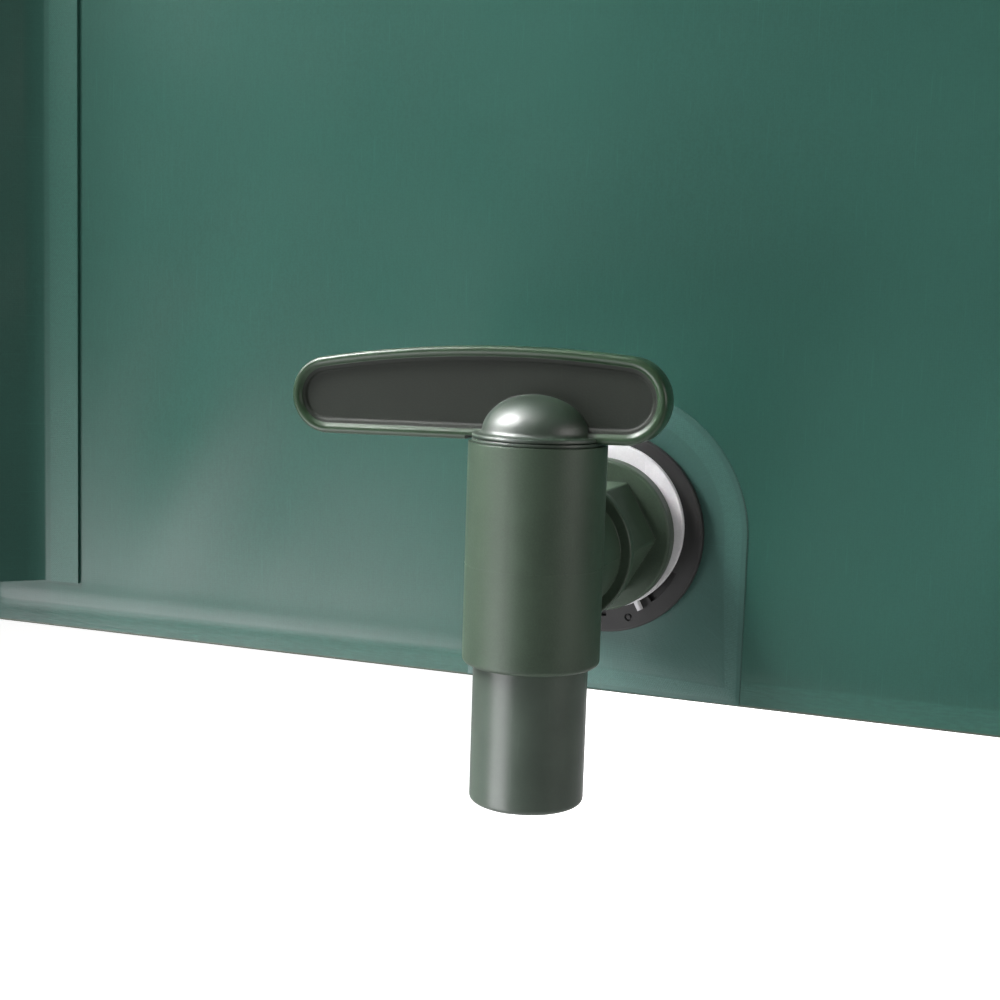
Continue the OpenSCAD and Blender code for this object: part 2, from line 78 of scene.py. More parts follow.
TAPE_INNER = 2 * ZIP_R - TAPE_OUT
GASKET_LO, GASKET_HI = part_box("tap_gasket_outer")
TAP_Z = (GASKET_LO.z + GASKET_HI.z) / 2
PLUG_LO, PLUG_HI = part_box("tap_plug")
TAP_Y = (PLUG_LO.y + PLUG_HI.y) / 2
PATCH_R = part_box("tap_patch")[1].x
OVER_LO, OVER_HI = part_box("overflow_patch")
OVER_Z = (OVER_LO.z + OVER_HI.z) / 2
OVER_R = (OVER_HI.z - OVER_LO.z) / 2
HOLE_R = 0.0136
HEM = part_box("base_sheet")[1].z
SLEEVE_LO, SLEEVE_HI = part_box("pole_sleeves")
POLE_LO, POLE_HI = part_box("pole_1")
POLE_AT = (POLE_LO.x + POLE_HI.x) / 2
SLEEVE_R = SLEEVE_HI.x - POLE_AT
OVERFLOW_PANEL = 1
BACK_PANEL = 3


# ---------------------------------------------------------------- small maths
def clamp(x, a=0.0, b=1.0):
    return a if x < a else b if x > b else x


def ease(a, b, x):
    t = clamp((x - a) / (b - a))
    return t * t * (3 - 2 * t)


def bell(x, width):
    return math.exp(-(x / width) ** 2)


def rnd(x, y, z=0.0):
    return noise.noise(Vector((x, y, z)))


# ---------------------------------------------------------------- mesh helpers
def make_object(name, verts, faces, uvs=None, smooth=True, mats=(), face_mat=None):
    me = bpy.data.meshes.new(name)
    me.from_pydata(verts, [], faces)
    if uvs:
        layer = me.uv_layers.new(name="UVMap")
        k = 0
        for f in uvs:
            for uv in f:
                layer.data[k].uv = uv
                k += 1
    for m in mats:
        me.materials.append(m)
    if face_mat:
        me.polygons.foreach_set("material_index", face_mat)
    me.polygons.foreach_set("use_smooth", [smooth] * len(me.polygons))
    bm = bmesh.new()
    bm.from_mesh(me)
    bmesh.ops.recalc_face_normals(bm, faces=bm.faces)
    bm.to_mesh(me)
    bm.free()
    me.update()
    ob = bpy.data.objects.new(name, me)
    bpy.context.scene.collection.objects.link(ob)
    return ob


class Build:
    """Collects several closed shells into one mesh."""

    def __init__(self):
        self.v, self.f, self.uv, self.m = [], [], [], []

    def loft(self, rings, us, vs, closed=True, wrap=True, mat=0, caps=False):
        """rings: equal-length loops; closed joins a loop's ends, wrap joins the last ring to the first."""
        base = len(self.v)
        n = len(rings[0])
        for r in rings:
            self.v.extend(r)
        m = len(rings)
        for i in range(m if wrap else m - 1):
            a = base + i * n
            b = base + ((i + 1) % m) * n
            v0, v1 = vs[i], vs[i + 1] if i + 1 < len(vs) else vs[i] + 0.001
            for j in range(n if closed else n - 1):
                k = (j + 1) % n
                self.f.append((a + j, a + k, b + k, b + j))
                u0, u1 = us[j], us[j + 1] if j + 1 < len(us) else us[j] + 0.004
                self.uv.append(((u0, v0), (u1, v0), (u1, v1), (u0, v1)))
                self.m.append(mat)
        if caps:
            for i in (0, m - 1):
                idx = [base + i * n + j for j in range(n)]
                self.f.append(tuple(idx if i else reversed(idx)))
                self.uv.append([(0.0, 0.0)] * n)
                self.m.append(mat)
        if not closed and wrap:
            for j in (0, n - 1):
                idx = [base + i * n + j for i in range(m)]
                self.f.append(tuple(idx if j == 0 else reversed(idx)))
                self.uv.append([(0.0, 0.0)] * m)
                self.m.append(mat)

    def blob(self, c, ax, ay, az, mat=0, seg=6, rows=4, power=0.75):
        """Closed rounded lump with half axes ax, ay and az about c."""
        base = len(self.v)
        self.v.append(c - az)
        for i in range(1, rows):
            t = -math.pi / 2 + math.pi * i / rows
            ct, st = math.cos(t) ** power, math.copysign(abs(math.sin(t)) ** power, math.sin(t))
            for j in range(seg):
                p = 2 * math.pi * j / seg
                self.v.append(c + ax * (ct * math.cos(p)) + ay * (ct * math.sin(p)) + az * st)
        self.v.append(c + az)
        last = len(self.v) - 1
        for j in range(seg):
            k = (j + 1) % seg
            self.face((base, base + 1 + k, base + 1 + j), mat)
            for i in range(rows - 2):
                a = base + 1 + i * seg
                self.face((a + j, a + k, a + seg + k, a + seg + j), mat)
            a = base + 1 + (rows - 2) * seg
            self.face((a + j, a + k, last), mat)

    def planar(self):
        """Texture coordinates as the cloth lies flat, seen from above."""
        self.uv = [[(self.v[i][0], self.v[i][1]) for i in f] for f in self.f]

    def face(self, idx, mat):
        self.f.append(idx)
        self.uv.append([(self.v[i][0], self.v[i][1]) for i in idx])
        self.m.append(mat)

    def done(self, name, mats, smooth=True):
        return make_object(name, self.v, self.f, self.uv, smooth, mats, self.m)


def boolean(ob, cutter, op):
    mod = ob.modifiers.new("cut", "BOOLEAN")
    mod.operation = op
    mod.solver = "EXACT"
    mod.object = cutter
    deps = bpy.context.evaluated_depsgraph_get()
    me = bpy.data.meshes.new_from_object(ob.evaluated_get(deps), depsgraph=deps)
    ob.modifiers.remove(mod)
    old = ob.data
    ob.data = me
    bpy.data.meshes.remove(old)
    bpy.data.objects.remove(cutter)
    return ob


def sharpen(ob, degrees):
    """Smooth shading with edges sharper than the angle kept crisp."""
    me = ob.data
    me.polygons.foreach_set("use_smooth", [True] * len(me.polygons))
    bm = bmesh.new()
    bm.from_mesh(me)
    limit = math.radians(degrees)
    for e in bm.edges:
        e.smooth = not (len(e.link_faces) == 2 and e.calc_face_angle(0) > limit)
    bm.to_mesh(me)
    bm.free()


# ---------------------------------------------------------------- node material helpers
def add(nt, kind, ins=None, **props):
    n = nt.nodes.new("ShaderNode" + kind)
    for k, v in props.items():
        setattr(n, k, v)
    for k, v in (ins or {}).items():
        if isinstance(v, bpy.types.NodeSocket):
            nt.links.new(v, n.inputs[k])
        else:
            n.inputs[k].default_value = v
    return n


def calc(nt, op, a, b=0.0, c=0.0, clip=False):
    n = add(nt, "Math", {0: a, 1: b, 2: c}, operation=op)
    n.use_clamp = clip
    return n.outputs[0]


def mul(nt, a, b):
    return calc(nt, "MULTIPLY", a, b)


def plus(nt, a, b):
    return calc(nt, "ADD", a, b)


def fit(nt, x, a, b, c=0.0, d=1.0):
    n = add(nt, "MapRange", {0: x, 1: a, 2: b, 3: c, 4: d})
    n.interpolation_type = "SMOOTHSTEP"
    return n.outputs[0]


def mix(nt, f, a, b, kind="MIX"):
    n = add(nt, "Mix", data_type="RGBA", blend_type=kind)
    for k, v in ((0, f), (6, a), (7, b)):
        if isinstance(v, bpy.types.NodeSocket):
            nt.links.new(v, n.inputs[k])
        else:
            n.inputs[k].default_value = v
    return n.outputs[2]


def tex(nt, vec, scale, detail=3.0, rough=0.55, distort=0.0):
    n = add(nt, "TexNoise", {"Vector": vec, "Scale": scale, "Detail": detail, "Roughness": rough,
                            "Distortion": distort})
    return n.outputs[0]


def stretch(nt, vec, sx, sy, sz):
    n = add(nt, "Mapping", {"Vector": vec})
    n.inputs["Scale"].default_value = (sx, sy, sz)
    return n.outputs[0]


def material(name):
    m = bpy.data.materials.new(name)
    m.use_nodes = True
    nt = m.node_tree
    nt.nodes.clear()
    out = nt.nodes.new("ShaderNodeOutputMaterial")
    b = nt.nodes.new("ShaderNodeBsdfPrincipled")
    nt.links.new(b.outputs[0], out.inputs[0])
    return m, nt, b


def srgb(r, g, b):
    def lin(c):
        c /= 255
        return c / 12.92 if c <= 0.04045 else ((c + 0.055) / 1.055) ** 2.4
    return (lin(r), lin(g), lin(b), 1.0)


def shade(c, k):
    return (c[0] * k, c[1] * k, c[2] * k, 1.0)


# ---------------------------------------------------------------- materials
def coated_fabric(name, colour, rough=0.35, weave=1.0, band=None, hem=False, streaks=1.0):
    """PVC-coated cloth: threads show softly through the coating, with rubbed and streaked sheen.
    band: (from, to) distances in the V coordinate where a welded strip shows the cloth more clearly."""
    m, nt, b = material(name)
    uv = add(nt, "UVMap").outputs[0]
    sep = add(nt, "SeparateXYZ", {0: uv}).outputs
    obj = add(nt, "TexCoord").outputs["Object"]
    warp = tex(nt, stretch(nt, uv, 60, 25, 1), 1.0, 2.0)
    u = plus(nt, sep[0], mul(nt, warp, 0.0006))
    v = plus(nt, sep[1], mul(nt, warp, 0.0004))
    tu = calc(nt, "SINE", mul(nt, u, 2 * math.pi / 0.00056))
    tv = calc(nt, "SINE", mul(nt, v, 2 * math.pi / 0.00062))
    cloth = plus(nt, mul(nt, tu, 0.62), mul(nt, tv, 0.38))
    cross = mul(nt, tu, tv)
    cloth = plus(nt, cloth, mul(nt, cross, 0.35))
    patchy = tex(nt, obj, 38.0, 4.0, 0.6)
    fine = tex(nt, stretch(nt, uv, 900, 160, 1), 1.0, 3.0, 0.6)
    grain = tex(nt, obj, 1700.0, 2.0, 0.5)
    soft = tex(nt, obj, 6.0, 2.0, 0.5)
    scratch = tex(nt, stretch(nt, uv, 1500, 60, 1), 1.0, 2.0, 0.4)
    scratch = fit(nt, scratch, 0.66, 0.72)
    amount = mul(nt, fit(nt, patchy, 0.3, 0.75, 0.45, 1.0), weave)
    height = mul(nt, cloth, mul(nt, amount, 0.22))
    height = plus(nt, height, mul(nt, fine, 0.9 * streaks))
    weft = tex(nt, stretch(nt, uv, 120, 800, 1), 1.0, 3.0)
    height = plus(nt, height, mul(nt, weft, 0.5))
    height = plus(nt, height, mul(nt, grain, 0.45))
    col = mix(nt, fit(nt, soft, 0.3, 0.7), shade(colour, 0.90), shade(colour, 1.10))
    col = mix(nt, mul(nt, fit(nt, fine, 0.3, 0.7), 0.30 * streaks), col, shade(colour, 1.22))
    col = mix(nt, mul(nt, fit(nt, cloth, -0.9, 0.9), mul(nt, amount, 0.22)), col,
              shade(colour, 0.72))
    col = mix(nt, mul(nt, fit(nt, grain, 0.40, 0.62), 0.30), col, shade(colour, 1.25))
    rgh = plus(nt, rough - 0.05, mul(nt, patchy, 0.10))
    if hem:
        inside = mul(nt, fit(nt, sep[1], 0.0062, 0.0072, 1.0, 0.0), fit(nt, sep[1], -0.001, 0.0))
        rasp = tex(nt, stretch(nt, uv, 260, 1500, 1), 1.0, 4.0, 0.7)
        height = plus(nt, height, mul(nt, mul(nt, rasp, inside), 2.6))
        col = mix(nt, mul(nt, inside, fit(nt, rasp, 0.35, 0.7, 0.15, 0.75)), col,
                  shade(colour, 1.5))
        raw = fit(nt, sep[1], 0.0002, 0.0009, 1.0, 0.0)
        col = mix(nt, mul(nt, raw, 0.55), col, (0.09, 0.075, 0.05, 1))
        rgh = plus(nt, rgh, mul(nt, inside, 0.10))
    if band:
        lo, hi = band
        soft_edge = 0.0006
        inside = mul(nt, fit(nt, sep[1], lo, lo + soft_edge),
                      fit(nt, sep[1], hi - soft_edge, hi, 1.0, 0.0))
        dots = mul(nt, calc(nt, "SINE", mul(nt, sep[0], 2 * math.pi / 0.0007)),
                    calc(nt, "SINE", mul(nt, sep[1], 2 * math.pi / 0.0007)))
        speck = plus(nt, mul(nt, dots, 0.35),
                     mul(nt, tex(nt, obj, 1500.0, 3.0, 0.7), 1.6))
        height = plus(nt, height, mul(nt, mul(nt, speck, inside), 0.9))
        col = mix(nt, mul(nt, inside, fit(nt, speck, 0.4, 1.3, 0.05, 0.60)), col,
                  shade(colour, 1.7))
    col = mix(nt, mul(nt, scratch, 0.22), col, shade(colour, 1.6))
    bump = add(nt, "Bump", {"Height": height, "Strength": 0.55, "Distance": 0.00005})
    nt.links.new(col, b.inputs["Base Color"])
    nt.links.new(rgh, b.inputs["Roughness"])
    nt.links.new(bump.outputs[0], b.inputs["Normal"])
    b.inputs["Specular IOR Level"].default_value = 0.38
    return m


def moulded(name, colour, rough=0.45, grain=1.0, edge=0.25, gloss_patch=0.08, bevel=0.0005, scale=1.0,
            shine=0.5):
    """Injection-moulded plastic: fine spark texture, uneven sheen, rounded edges lightened partly as rubbed
    wear and partly as a painted edge highlight.
    """
    m, nt, b = material(name)
    obj = add(nt, "TexCoord").outputs["Object"]
    spark = tex(nt, obj, 2300.0 * scale, 3.0, 0.6)
    cloud = tex(nt, obj, 120.0, 4.0, 0.6)
    wide = tex(nt, obj, 22.0, 2.0, 0.5)
    scr = tex(nt, stretch(nt, obj, 1600, 1600, 90), 1.0, 2.0, 0.4)
    scr = fit(nt, scr, 0.68, 0.74)
    bev = add(nt, "Bevel", {"Radius": bevel})
    bev.samples = 4
    geo = add(nt, "NewGeometry")
    dot = add(nt, "VectorMath", {0: bev.outputs[0], 1: geo.outputs["Normal"]}, operation="DOT_PRODUCT")
    edge_wear_and_highlight = fit(nt, dot.outputs["Value"], 0.90, 0.995, 1.0, 0.0)
    col = mix(nt, fit(nt, cloud, 0.3, 0.7), shade(colour, 0.88), shade(colour, 1.12))
    col = mix(nt, fit(nt, wide, 0.35, 0.65, 0.0, 0.4), col, shade(colour, 1.18))
    speckle = mul(nt, fit(nt, spark, 0.42, 0.62), 0.16 * min(grain, 2.0))
    col = mix(nt, speckle, col, shade(colour, 1.5))
    # Edges lightened: partly rubbed wear, partly a painted highlight along the rounded edges.
    col = mix(nt, mul(nt, edge_wear_and_highlight, mul(nt, fit(nt, cloud, 0.3, 0.6), edge)), col,
              shade(colour, 2.2))
    col = mix(nt, mul(nt, scr, 0.25), col, shade(colour, 1.8))
    rgh = plus(nt, rough - gloss_patch / 2, mul(nt, cloud, gloss_patch))
    rgh = calc(nt, "SUBTRACT", rgh, mul(nt, edge_wear_and_highlight, 0.10))
    bump = add(nt, "Bump", {"Height": spark, "Strength": 0.35 * grain, "Distance": 0.00005,
                           "Normal": bev.outputs[0]})
    nt.links.new(col, b.inputs["Base Color"])
    nt.links.new(rgh, b.inputs["Roughness"])
    nt.links.new(bump.outputs[0], b.inputs["Normal"])
    b.inputs["Specular IOR Level"].default_value = shine
    return m


def metal(name, colour):
    m, nt, b = material(name)
    obj = add(nt, "TexCoord").outputs["Object"]
    rub = tex(nt, stretch(nt, obj, 1500, 400, 900), 1.0, 3.0)
    cloud = tex(nt, obj, 260.0, 3.0)
    bev = add(nt, "Bevel", {"Radius": 0.0003})
    bev.samples = 4
    col = mix(nt, fit(nt, cloud, 0.3, 0.7), shade(colour, 0.75), colour)
    rgh = plus(nt, 0.22, mul(nt, rub, 0.22))
    bump = add(nt, "Bump", {"Height": rub, "Strength": 0.3, "Distance": 0.00004, "Normal": bev.outputs[0]})
    b.inputs["Metallic"].default_value = 1.0
    nt.links.new(col, b.inputs["Base Color"])
    nt.links.new(rgh, b.inputs["Roughness"])
    nt.links.new(bump.outputs[0], b.inputs["Normal"])
    return m


def woven(name, colour, pitch=0.0009, rough=0.75):
    """Narrow woven tape or thread."""
    m, nt, b = material(name)
    uv = add(nt, "UVMap").outputs[0]
    sep = add(nt, "SeparateXYZ", {0: uv}).outputs
    obj = add(nt, "TexCoord").outputs["Object"]
    k = 2 * math.pi / pitch
    rib = calc(nt, "SINE", mul(nt, plus(nt, sep[0], sep[1]), k))
    rib2 = calc(nt, "SINE", mul(nt, calc(nt, "SUBTRACT", sep[0], sep[1]), k))
    cloth = calc(nt, "MAXIMUM", rib, rib2)
    fuzz = tex(nt, obj, 1500.0, 3.0, 0.7)
    wide = tex(nt, obj, 40.0, 3.0)
    col = mix(nt, fit(nt, cloth, -0.2, 1.0), shade(colour, 0.6), shade(colour, 1.3))
    col = mix(nt, fit(nt, wide, 0.3, 0.7, 0.0, 0.4), col, shade(colour, 1.7))
    height = plus(nt, cloth, mul(nt, fuzz, 0.8))
    bump = add(nt, "Bump", {"Height": height, "Strength": 0.6, "Distance": 0.00008})
    nt.links.new(col, b.inputs["Base Color"])
    nt.links.new(bump.outputs[0], b.inputs["Normal"])
    b.inputs["Roughness"].default_value = rough
    b.inputs["Sheen Weight"].default_value = 0.25
    return m


def rubber(name, colour):
    m, nt, b = material(name)
    obj = add(nt, "TexCoord").outputs["Object"]
    pore = tex(nt, obj, 1300.0, 3.0, 0.6)
    cloud = tex(nt, obj, 90.0, 4.0, 0.6)
    bloom = fit(nt, tex(nt, obj, 30.0, 3.0), 0.45, 0.75)
    bev = add(nt, "Bevel", {"Radius": 0.0004})
    bev.samples = 4
    col = mix(nt, fit(nt, cloud, 0.3, 0.7), shade(colour, 0.8), shade(colour, 1.3))
    col = mix(nt, mul(nt, bloom, 0.3), col, (0.045, 0.045, 0.045, 1))
    rgh = plus(nt, 0.50, mul(nt, cloud, 0.2))
    bump = add(nt, "Bump", {"Height": pore, "Strength": 0.4, "Distance": 0.00005, "Normal": bev.outputs[0]})
    nt.links.new(col, b.inputs["Base Color"])
    nt.links.new(rgh, b.inputs["Roughness"])
    nt.links.new(bump.outputs[0], b.inputs["Normal"])
    return m


GREEN = srgb(36, 72, 63)
# The patch's green is lighter and greyer than the wall's: partly its own tone, partly painted sheen.
GREEN_PATCH = srgb(52, 82, 76)
fab_wall = coated_fabric("fabric wall", GREEN, rough=0.30, hem=True)
fab_patch = coated_fabric("fabric patch", GREEN_PATCH, rough=0.36, band=(0.0012, 0.0062))
fab_sleeve = coated_fabric("fabric sleeve", GREEN, band=(-0.011, -0.001), streaks=0.7)
fab_top = coated_fabric("fabric top", GREEN, rough=0.40, streaks=0.7)
fab_lid = coated_fabric("fabric lid", GREEN, rough=0.40, streaks=0.7)
fab_base = coated_fabric("fabric base", shade(GREEN, 0.85), rough=0.55, streaks=0.7)
# The housing's edges get the strongest lightening (edge=0.5), mostly a painted highlight along the hex and
# rims, with some rubbed wear.
mould_body = moulded("moulded body", srgb(47, 61, 48), rough=0.45, grain=2.4, edge=0.5, shine=0.42)
mould_lever = moulded("moulded lever", srgb(35, 53, 36), rough=0.30, grain=0.8, edge=0.05, shine=0.36)
# The sunk panel and the hub are darker copies of the lever's plastic: painted shade.
mould_panel_painted_shade = moulded("moulded panel painted shade", srgb(22, 27, 21), rough=0.58, grain=2.6, shine=0.22)
mould_hub_painted_shade = moulded("moulded hub painted shade", srgb(25, 40, 28), rough=0.43, grain=2.2, edge=0.05, shine=0.95)
mould_plug = moulded("moulded plug", srgb(57, 67, 59), rough=0.34, grain=0.7)
mould_dark = moulded("moulded dark", srgb(30, 40, 28), rough=0.48)
pole_plastic = moulded("pole plastic", srgb(226, 226, 220), rough=0.40, grain=0.5, edge=0.0, scale=0.6)
cap_plastic = moulded("cap plastic", srgb(84, 86, 85), rough=0.55)
washer_plastic = moulded("washer plastic", srgb(206, 205, 208), rough=0.46, grain=0.6, edge=0.0)
net_thread = woven("net thread", srgb(30, 30, 31), 0.0004, 0.6)
tape_cloth = woven("zip tape cloth", srgb(26, 26, 27))
coil_plastic = moulded("zip coil", srgb(36, 36, 37), rough=0.35, grain=0.4, edge=0.1, bevel=0.0002)
thread = woven("sewing thread", srgb(40, 62, 56), 0.0003, 0.65)
thread_black = woven("black sewing thread", srgb(38, 38, 39), 0.0003, 0.65)
slider_metal = metal("slider metal", srgb(196, 196, 198))
rubber_black = rubber("gasket rubber", srgb(26, 26, 26))


# ---------------------------------------------------------------- the bag's outline and skin
def panel_dirs(k):
    a = math.radians(-90 + 60 * k)
    return Vector((math.cos(a), math.sin(a), 0)), Vector((-math.sin(a), math.cos(a), 0))


def spread(lo, hi, step):
    n = max(1, round((hi - lo) / step))
    return [lo + (hi - lo) * i / n for i in range(n + 1)]


def columns(front, other, seam=False):
    """Places round the outline: (panel, s along it, outward unit vector, corner angle or None, perimeter)."""
    out = []
    for k in range(6):
        n, t = panel_dirs(k)
        ss = spread(-FLAT, FLAT, front if k == 0 else other)
        if seam and k == BACK_PANEL:
            ss = sorted(ss + [0.0949, 0.0952, 0.1198, 0.1201])
        for s in ss:
            out.append((k, s, n, None, k * SIDE + s + FLAT))
        for i in range(1, 6):
            a = math.radians(-90 + 60 * k + 10 * i)
            out.append((k, FLAT, Vector((math.cos(a), math.sin(a), 0)), i,
                        k * SIDE + 2 * FLAT + CORNER_R * math.radians(10 * i)))
    return out


def at_column(c, off, z):
    k, s, n, corner, _ = c
    pn, t = panel_dirs(k)
    if corner is None:
        p = pn * (APOTHEM + off) + t * s
    else:
        p = pn * (APOTHEM - CORNER_R) + t * FLAT + n * (CORNER_R + off)
    return Vector((p.x, p.y, z))


def slack(k, s, z):
    """How far a panel of the empty bag bellies out or in."""
    side = 1 - ease(FLAT - 0.070, FLAT - 0.034, abs(s))
    if side <= 0:
        return 0.0
    d = 0.00022 * rnd(s * 16 + 5.3 * k, z * 14, 0.7) * ease(0.012, 0.04, z)
    up = ease(0.09, 0.40, z) * (1 - ease(TOP - 0.14, TOP - 0.02, z))
    d += up * (0.0050 * rnd(s * 4.2 + 7.7 * k, z * 2.6, 3.1) + 0.0032 * bell(s, 0.09))
    tilt = z + (0.45 if k % 2 else -0.4) * s + 0.03 * rnd(s * 5 + k, z * 5, 9.2)
    pull = math.sin(2 * math.pi * tilt / 0.145 + 1.3 * k)
    d += up * 0.0011 * pull * ease(0.02, 0.12, abs(s)) * (0.5 + rnd(s * 3 + k, z * 4, 5.5))
    foot = bell(z - 0.075, 0.05) * ease(0.07, 0.125, abs(s))
    d += foot * 0.0007 * math.sin(2 * math.pi * (s * 0.9 - z * 0.5) / 0.05 + k)
    if k == 0:
        d *= ease(0.040, 0.100, math.hypot(s, z - TAP_Z)) if z < 0.3 else 1
    if k == OVERFLOW_PANEL:
        d *= ease(0.042, 0.100, math.hypot(s, z - OVER_Z))
    return d * side


def hem_shape(k, s, z):
    """Welded hem round the bottom: a soft crest, a shallow pressed groove and a rough band under it."""
    if z > 0.022:
        return 0.0
    groove = 0.0068 + (0.008 * s if k == 0 else 0.0)
    amp = 0.30 + 0.70 * ease(0.03, -0.13, s) if k == 0 else 0.8
    d = 0.00010 * amp * bell(z - 0.0105, 0.0026)
    d -= 0.00014 * amp * bell(z - groove, 0.0014)
    d -= 0.00005 * (1 - ease(groove - 0.0006, groove + 0.0006, z))
    d += 0.00005 * rnd(s * 90 + 3 * k, z * 300) * (1 - ease(groove - 0.0006, groove, z))
    return d


def skin(k, s, z):
    return slack(k, s, z) + hem_shape(k, s, z)


def on_panel(k, s, z, off):
    n, t = panel_dirs(k)
    p = n * (APOTHEM + off) + t * s
    return Vector((p.x, p.y, z))


def rows_up():
    zs = [0.0, 0.0006, 0.0016, 0.0028, 0.004, 0.005, 0.0056, 0.0061, 0.0065, 0.0069, 0.0073, 0.0077, 0.0081,
          0.0086, 0.0091, 0.0096, 0.0101, 0.0107, 0.0114, 0.0122, 0.0135, 0.0155, 0.018, 0.021]
    zs += spread(0.025, 0.205, 0.0045)
    zs += spread(0.213, TOP - 0.030, 0.0105)
    zs += [TOP - 0.022, TOP - 0.016, TOP - 0.010, TOP - 0.005, TOP - 0.0016]
    return zs


def build_wall():
    cols = columns(0.0045, 0.0105, seam=True)
    b = Build()
    rings, vs = [], []

    def seam_lift(c, z):
        k, s = c[0], c[1]
        if k == BACK_PANEL and c[3] is None and 0.0951 < s < 0.1199 and HEM < z < TOP - 0.021:
            return FABRIC
        return 0.0

    zs = rows_up()
    for z in zs:
        rings.append([at_column(c, skin(c[0], c[1], z) * (1 if c[3] is None else 0)
                                + (hem_shape(c[0], 0, z) if c[3] is not None else 0) + seam_lift(c, z), z)
                      for c in cols])
        vs.append(z)
    rings.append([at_column(c, -0.00008, TOP - 0.0004) for c in cols])
    rings.append([at_column(c, -0.0004, TOP) for c in cols])
    vs += [TOP, TOP + 0.0004]
    for z in reversed(zs[::2]):
        rings.append([at_column(c, (slack(c[0], c[1], z) if c[3] is None else 0) - FABRIC, z) for c in cols])
        vs.append(2 * TOP - z)
    us = [c[4] for c in cols] + [6 * SIDE]
    b.loft(rings, us, vs + [vs[-1]])
    ob = b.done("bag_wall", [fab_wall])
    for k, z in ((0, TAP_Z), (OVERFLOW_PANEL, OVER_Z)):
        n, t = panel_dirs(k)
        bpy.ops.mesh.primitive_cylinder_add(vertices=72, radius=HOLE_R, depth=0.02)
        cut = bpy.context.object
        cut.matrix_world = (Matrix.Translation(n * APOTHEM + Vector((0, 0, z)))
                            @ n.to_track_quat("Z", "Y").to_matrix().to_4x4())
        bpy.context.view_layer.update()
        boolean(ob, cut, "DIFFERENCE")
    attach(ob, "bag")
    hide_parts("wall")
    return ob


def build_base():
    cols = columns(0.012, 0.012)
    off = -FABRIC - LAP
    b = Build()
    rings, vs = [], []

    def shrink(f, z, o=off):
        out = []
        for c in cols:
            p = at_column(c, o, z)
            out.append(Vector((p.x * f, p.y * f, z)))
        return out

    def ripple(f, z):
        return [p + Vector((0, 0, 0.0009 * (1 + rnd(p.x * 14, p.y * 14, 2.0)) * ease(1.0, 0.8, f)))
                for p in shrink(f, z)]

    for f in (0.02, 0.3, 0.6, 0.85, 0.97):
        rings.append(shrink(f, 0.0))
        vs.append(f * APOTHEM)
    rings += [shrink(1, 0.0, off - 0.0006), shrink(1, 0.0003), shrink(1, HEM - 0.0003),
              shrink(1, HEM, off - 0.0004), shrink(1, HEM - 0.0003, off - FABRIC),
              shrink(1, 2 * FABRIC, off - FABRIC), shrink(0.985, FABRIC)]
    vs += [APOTHEM, APOTHEM + 0.001, APOTHEM + 0.01, APOTHEM + 0.011, APOTHEM + 0.012, APOTHEM + 0.02,
           APOTHEM + 0.024]
    for f in (0.9, 0.75, 0.6, 0.4, 0.2, 0.02):
        rings.append(ripple(f, FABRIC))
        vs.append(APOTHEM + 0.024 + (1 - f) * APOTHEM)
    us = [c[4] for c in cols] + [6 * SIDE]
    b.loft(rings, us, vs, wrap=False, caps=True)
    b.planar()
    ob = b.done("bag_base", [fab_base])
    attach(ob, "bag")
    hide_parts("base_sheet")
    return ob


# ---------------------------------------------------------------- top sheet, lid and zip
def sag(x, y):
    """The lid hangs a little between the zip and its fold."""
    r = math.hypot(x, y)
    f = clamp(1 - (r / (TAPE_INNER - 0.004)) ** 2) * ease(FOLD_Y, FOLD_Y - 0.055, y)
    return -0.0105 * f * f + 0.0011 * rnd(x * 17, y * 17, 4.4) * f


def cut_circle(phi, r, chord):
    s = math.sin(phi)
    return min(r, chord / s) if s > 0 else r


def stitch_row(b, pts, lift, mat, length=0.0026, pitch=0.0036, width=0.00028):
    """Thread stitches along a line of points, each dipping into the cloth at its ends."""
    acc = 0.0
    nxt = pitch / 2
    for p, q in zip(pts, pts[1:]):
        d = (q - p).length
        while acc + d >= nxt:
            c = p + (q - p) * ((nxt - acc) / d)
            t = (q - p).normalized()
            side = t.cross(Vector((0, 0, 1))).normalized()
            b.blob(c + Vector((0, 0, lift)), side * width, Vector((0, 0, width)), t * (length / 2), mat, 6, 4,
                   0.8)
            nxt += pitch
        acc += d


def circle_pts(r, chord_limit, z_of, step=0.002, a0=0.0, a1=360.0):
    n = int(math.radians(a1 - a0) * r / step)
    out = []
    for i in range(n + 1):
        a = math.radians(a0 + (a1 - a0) * i / n)
        x, y = r * math.cos(a), r * math.sin(a)
        if chord_limit is None or y < chord_limit:
            out.append(Vector((x, y, z_of(x, y))))
    return out


